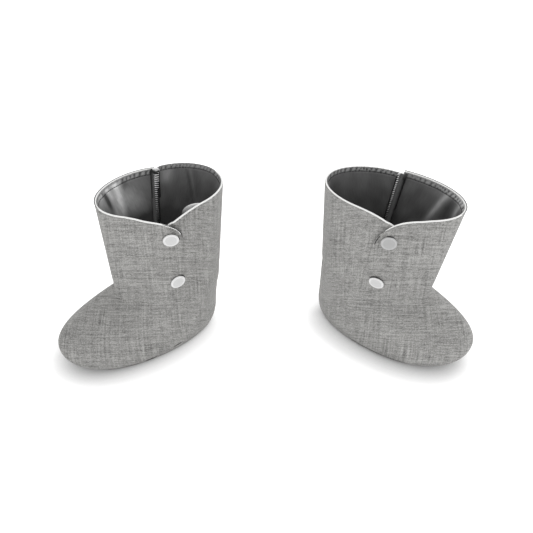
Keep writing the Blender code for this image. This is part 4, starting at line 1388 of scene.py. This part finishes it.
def make_seam_strip(cover, finishes):
    """Serged seam allowance that lies on the lining along the outer side seam, with its threads."""
    low = SEAM_HEIGHT + STRIP_FOOT_RISE
    top = rim_height(cover, cover["seam_angle"]) - STRIP_TOP_DROP
    levels = np.linspace(low, top, STRIP_ROWS)[:, None]
    across, heights = np.broadcast_arrays(np.linspace(-1.0, 1.0, STRIP_COLUMNS)[None, :], levels)
    outer = strip_point(cover, across, heights, INSIDE + STRIP_CLEAR)
    inner = strip_point(cover, across, heights)
    cloth_shell(cover, "seam_strip", outer, inner, sheet_cut(outer), finishes["strip"])

    count = int((top - low) / RUNG_PITCH)
    rungs = np.linspace(low + RUNG_MARGIN, top - RUNG_MARGIN, count)[:, None]
    share = np.linspace(0.0, 1.0, STITCH_RINGS)
    start, width = cover["rung"]
    reach = np.broadcast_to(start - width * share, (count, STITCH_RINGS))
    centre = strip_point(cover, reach, rungs - RUNG_SLANT * share)
    thread_bits(cover["name"] + "_serging", centre, strip_normal(cover, reach, rungs), share,
                RUNG_RADIUS, finishes["serging"])
    make_strip_top(cover, top, finishes)


def make_strip_top(cover, top, finishes):
    """Folded top end of the seam: a pale corner where the edge cord turns in, and beside it a dark
    roll that paints the shadow in the hollow of the folded strip. Each is a short roll across the
    strip, which bends down as a power of the way along it and tapers as a half sine."""
    share = np.linspace(0.0, 1.0, CORD_SIDES)
    for roll in STRIP_TOPS:
        start, end, fall, thick = cover["strip_" + roll["part"]]
        across = mix(start, end, share)
        heights = top + roll["above"] - fall * share ** roll["bend"]
        normals = strip_normal(cover, across, heights)
        path = strip_point(cover, across, heights) + normals * roll["lift"]
        swelling = np.sin(math.pi * share ** roll["skew"]) ** roll["blunt"]
        tube(cover["name"] + "_strip_top_" + roll["part"], path, normals,
             roll["thin"] + thick * swelling, ROLL_SIDES, finishes[roll["finish"]])


def make_tab(cover, finishes):
    """Rounded inner tab that leans in behind the back panel's edge."""
    share = np.linspace(0.0, 1.0, TAB_COLUMNS)
    angles = mix(TAB_START, TAB_END, share)
    level = np.linspace(0.0, 1.0, TAB_ROWS)[:, None]
    crown = (1.0 - (1.0 - np.minimum(share * TAB_ROUND, 1.0)) ** 2) ** 0.5
    rim = rim_height(cover, angles)
    top = rim + cover["tab_rise"] - TAB_FALL * share - TAB_CORNER * (1.0 - crown)
    heights = mix(rim - TAB_HEIGHT, top, level)
    lean = cover["tab_lean"] * (1.0 - share) * level ** 2
    depth = INSIDE + TAB_CLEAR + under_depth(cover, angles, heights) + lean
    faces = two_faces(cover, angles, heights, depth, TAB_WALL)
    cloth_shell(cover, "inner_tab", *faces, sheet_cut(faces[0]), finishes["tab"])


def snap_seat(cover, which):
    """Spot on the plain form and unit normal of a snap, tipped as it pulls the cloth."""
    angle, height = cover[which]
    step = NORMAL_STEP
    normal = outward(cover, angle, height)
    rise = unit(surface(cover, angle, height + step) - surface(cover, angle, height - step))
    run = unit(surface(cover, angle + step, height) - surface(cover, angle - step, height))
    tip, swing = np.tan(np.radians(cover[which + "_tip"]))
    return surface(cover, angle, height), normal, unit(normal - tip * rise - swing * run)


def make_snaps(cover, finishes):
    """Domed caps on the flap, each with a dark arc at a part of its rim that paints the shadow in the
    gap below it, and flat backs on the inside of the panel below it."""
    profile = [(radius * CAP_SPREAD, height) for radius, height in CAP_PROFILE]
    for which in ("upper_snap", "lower_snap"):
        name = cover["name"] + "_" + which
        spot, normal, tipped = snap_seat(cover, which)
        raised = flap_raise(cover, *cover[which])
        centre = spot + normal * (raised + SEAM_GAP + DIMPLE_ROOM)
        plastic = finishes[cover[which + "_tone"]]
        turned_disc(name + "_cap_dome", profile, centre, tipped, plastic, (name + "_cap",))
        turn = np.linspace(*np.radians(cover[which + "_gap"]), GAP_SHADOW_STEPS)[:, None]
        level = unit(np.cross((0.0, 0.0, 1.0), tipped))
        ring = circle(turn, level, np.cross(tipped, level)) * GAP_SHADOW_RADIUS
        tube(name + "_rim_gap_shadow", centre + ring, np.tile(tipped, (GAP_SHADOW_STEPS, 1)),
             tapered(GAP_SHADOW_THICKNESS, GAP_SHADOW_STEPS, *GAP_SHADOW_TAPER), THREAD_SIDES, finishes["dark_thread"])
        inside = 2.0 * INSIDE + CLOSURE_GAP - raised + SEAM_GAP + CURVATURE_ROOM
        turned_disc(name + "_back_socket", BACK_PROFILE, spot - normal * inside, -tipped,
                    finishes["snap"], (name + "_back",))


def make_stage():
    """Plain pale floor."""
    mesh = bpy.data.meshes.new("floor")
    half = FLOOR_HALF
    corners = [(-half, -half, 0.0), (half, -half, 0.0), (half, half, 0.0), (-half, half, 0.0)]
    mesh.from_pydata(corners, [], [(0, 1, 2, 3)])
    mesh.materials.append(pale_floor("floor"))
    into_scene("floor", mesh)


def make_light():
    """Soft white surroundings, and a wide lamp behind on the right, which leads the shade to the
    left and the front."""
    world = bpy.data.worlds.new("studio")
    world.use_nodes = True
    background = world.node_tree.nodes["Background"]
    background.inputs["Color"].default_value = (1.0, 1.0, 1.0, 1.0)
    background.inputs["Strength"].default_value = 1.0
    bpy.context.scene.world = world
    lamp = bpy.data.lights.new("wide_lamp", "AREA")
    lamp.energy = LAMP_POWER
    lamp.size = LAMP_SIZE
    spot = into_scene("wide_lamp", lamp)
    spot.location = LAMP_PLACE
    spot.rotation_euler = (-spot.location).to_track_quat("-Z", "Y").to_euler()


def make_camera():
    """Camera of the photo's view."""
    down = math.radians(CAMERA_DOWN)
    ahead = Vector((0.0, math.cos(down), -math.sin(down)))
    data = bpy.data.cameras.new("camera")
    data.lens = CAMERA_LENS
    data.sensor_width = 36.0
    data.shift_x, data.shift_y = CAMERA_SHIFT
    camera = into_scene("camera", data)
    camera.location = (Vector(CAMERA_TARGET) - ahead * CAMERA_DISTANCE) * MM
    camera.rotation_euler = ahead.to_track_quat("-Z", "Y").to_euler()
    bpy.context.scene.camera = camera
    bpy.context.scene.view_settings.view_transform = "Standard"


def declare_cuts(cover):
    """Look up each cloth piece of a cover, and the pieces sewn to it, and reckon its cut's width,
    length and area in metres.
    """
    for cut in CUTS:
        width, length, area = cut[cover["name"]]
        piece = bpy.data.objects[cover["name"] + "_" + cut["part"] + "_cloth"]
        sewn = [bpy.data.objects[cover["name"] + "_" + part] for part in cut["sewn"].split()]
        width * MM
        length * MM
        area * MM * MM


# Finishes by name: the material and a slot's name
# Dark thread for the hem stitches. It also colours the dark tubes that paint shadow beside the flap's
# corner, along the sole's edge, at the snap caps' rims and in the seam strip's hollow, and the faint
# dark line above the ankle seam
dark_thread = thread("dark_thread", (0.012, 0.012, 0.012), (0.03, 0.03, 0.03))
finishes = {
    "left_cloth": (melange("grey_melange", (0.120, 0.119, 0.115), (0.416, 0.412, 0.400), 1.0, 0.0),
                   "outer_cloth"),
    "right_cloth": (melange("pale_melange", (0.126, 0.125, 0.121), (0.434, 0.430, 0.418), 1.0, 4.0),
                    "outer_cloth"),
    "satin": (satin("dark_satin", (0.045, 0.045, 0.045), (0.92, 0.92, 0.92), 2.0), "satin_lining"),
    "piping": (cord("white_cord", (0.72, 0.72, 0.71), (0.93, 0.93, 0.92), 1.1), "edge_piping"),
    "strip": (serged("serged_edge", (0.012, 0.012, 0.012), (0.16, 0.16, 0.16)), "serged_seam"),
    # The serging's threads are painted darker further down, as shade inside the cover
    "serging": (thread("serging_thread", (0.02, 0.02, 0.02), (1.0, 1.0, 1.0), (90.0, 122.0)),
                "serged_seam"),
    "tab": (shaded_facing("shaded_tab_facing", (0.13, 0.13, 0.13), (0.85, 0.85, 0.85)), "outer_cloth"),
    "sole": (melange("grey_sole", (0.13, 0.13, 0.127), (0.27, 0.27, 0.265), 0.4, 11.0, False),
             "sole_cloth"),
    "snap": (moulded("white_plastic", (0.53, 0.53, 0.53), (0.70, 0.70, 0.70)), "snap_plastic"),
    "grey_snap": (moulded("grey_plastic", (0.355, 0.355, 0.355), (0.45, 0.45, 0.45)),
                  "snap_plastic"),
    # Darker copy of the outer cloth, which paints the shaded side of the edge roll
    "edge": (thread("grey_edge", (0.09, 0.09, 0.088), (0.15, 0.15, 0.147)), "outer_cloth"),
    "light_thread": (thread("light_thread", (0.7, 0.7, 0.7), (0.9, 0.9, 0.9)), "edge_piping"),
    "dark_thread": (dark_thread, "serged_seam"),
    "hem_thread": (dark_thread, "satin_lining"),
}
make_stage()
make_light()
make_camera()
for cover in COVERS:
    for make in (make_legs, make_foot, make_piping, make_edge_fold, make_corner_shadow_line,
                 make_dark_edge_lines, make_hem_stitches, make_seam_strip, make_tab, make_snaps):
        make(cover, finishes)
    declare_cuts(cover)
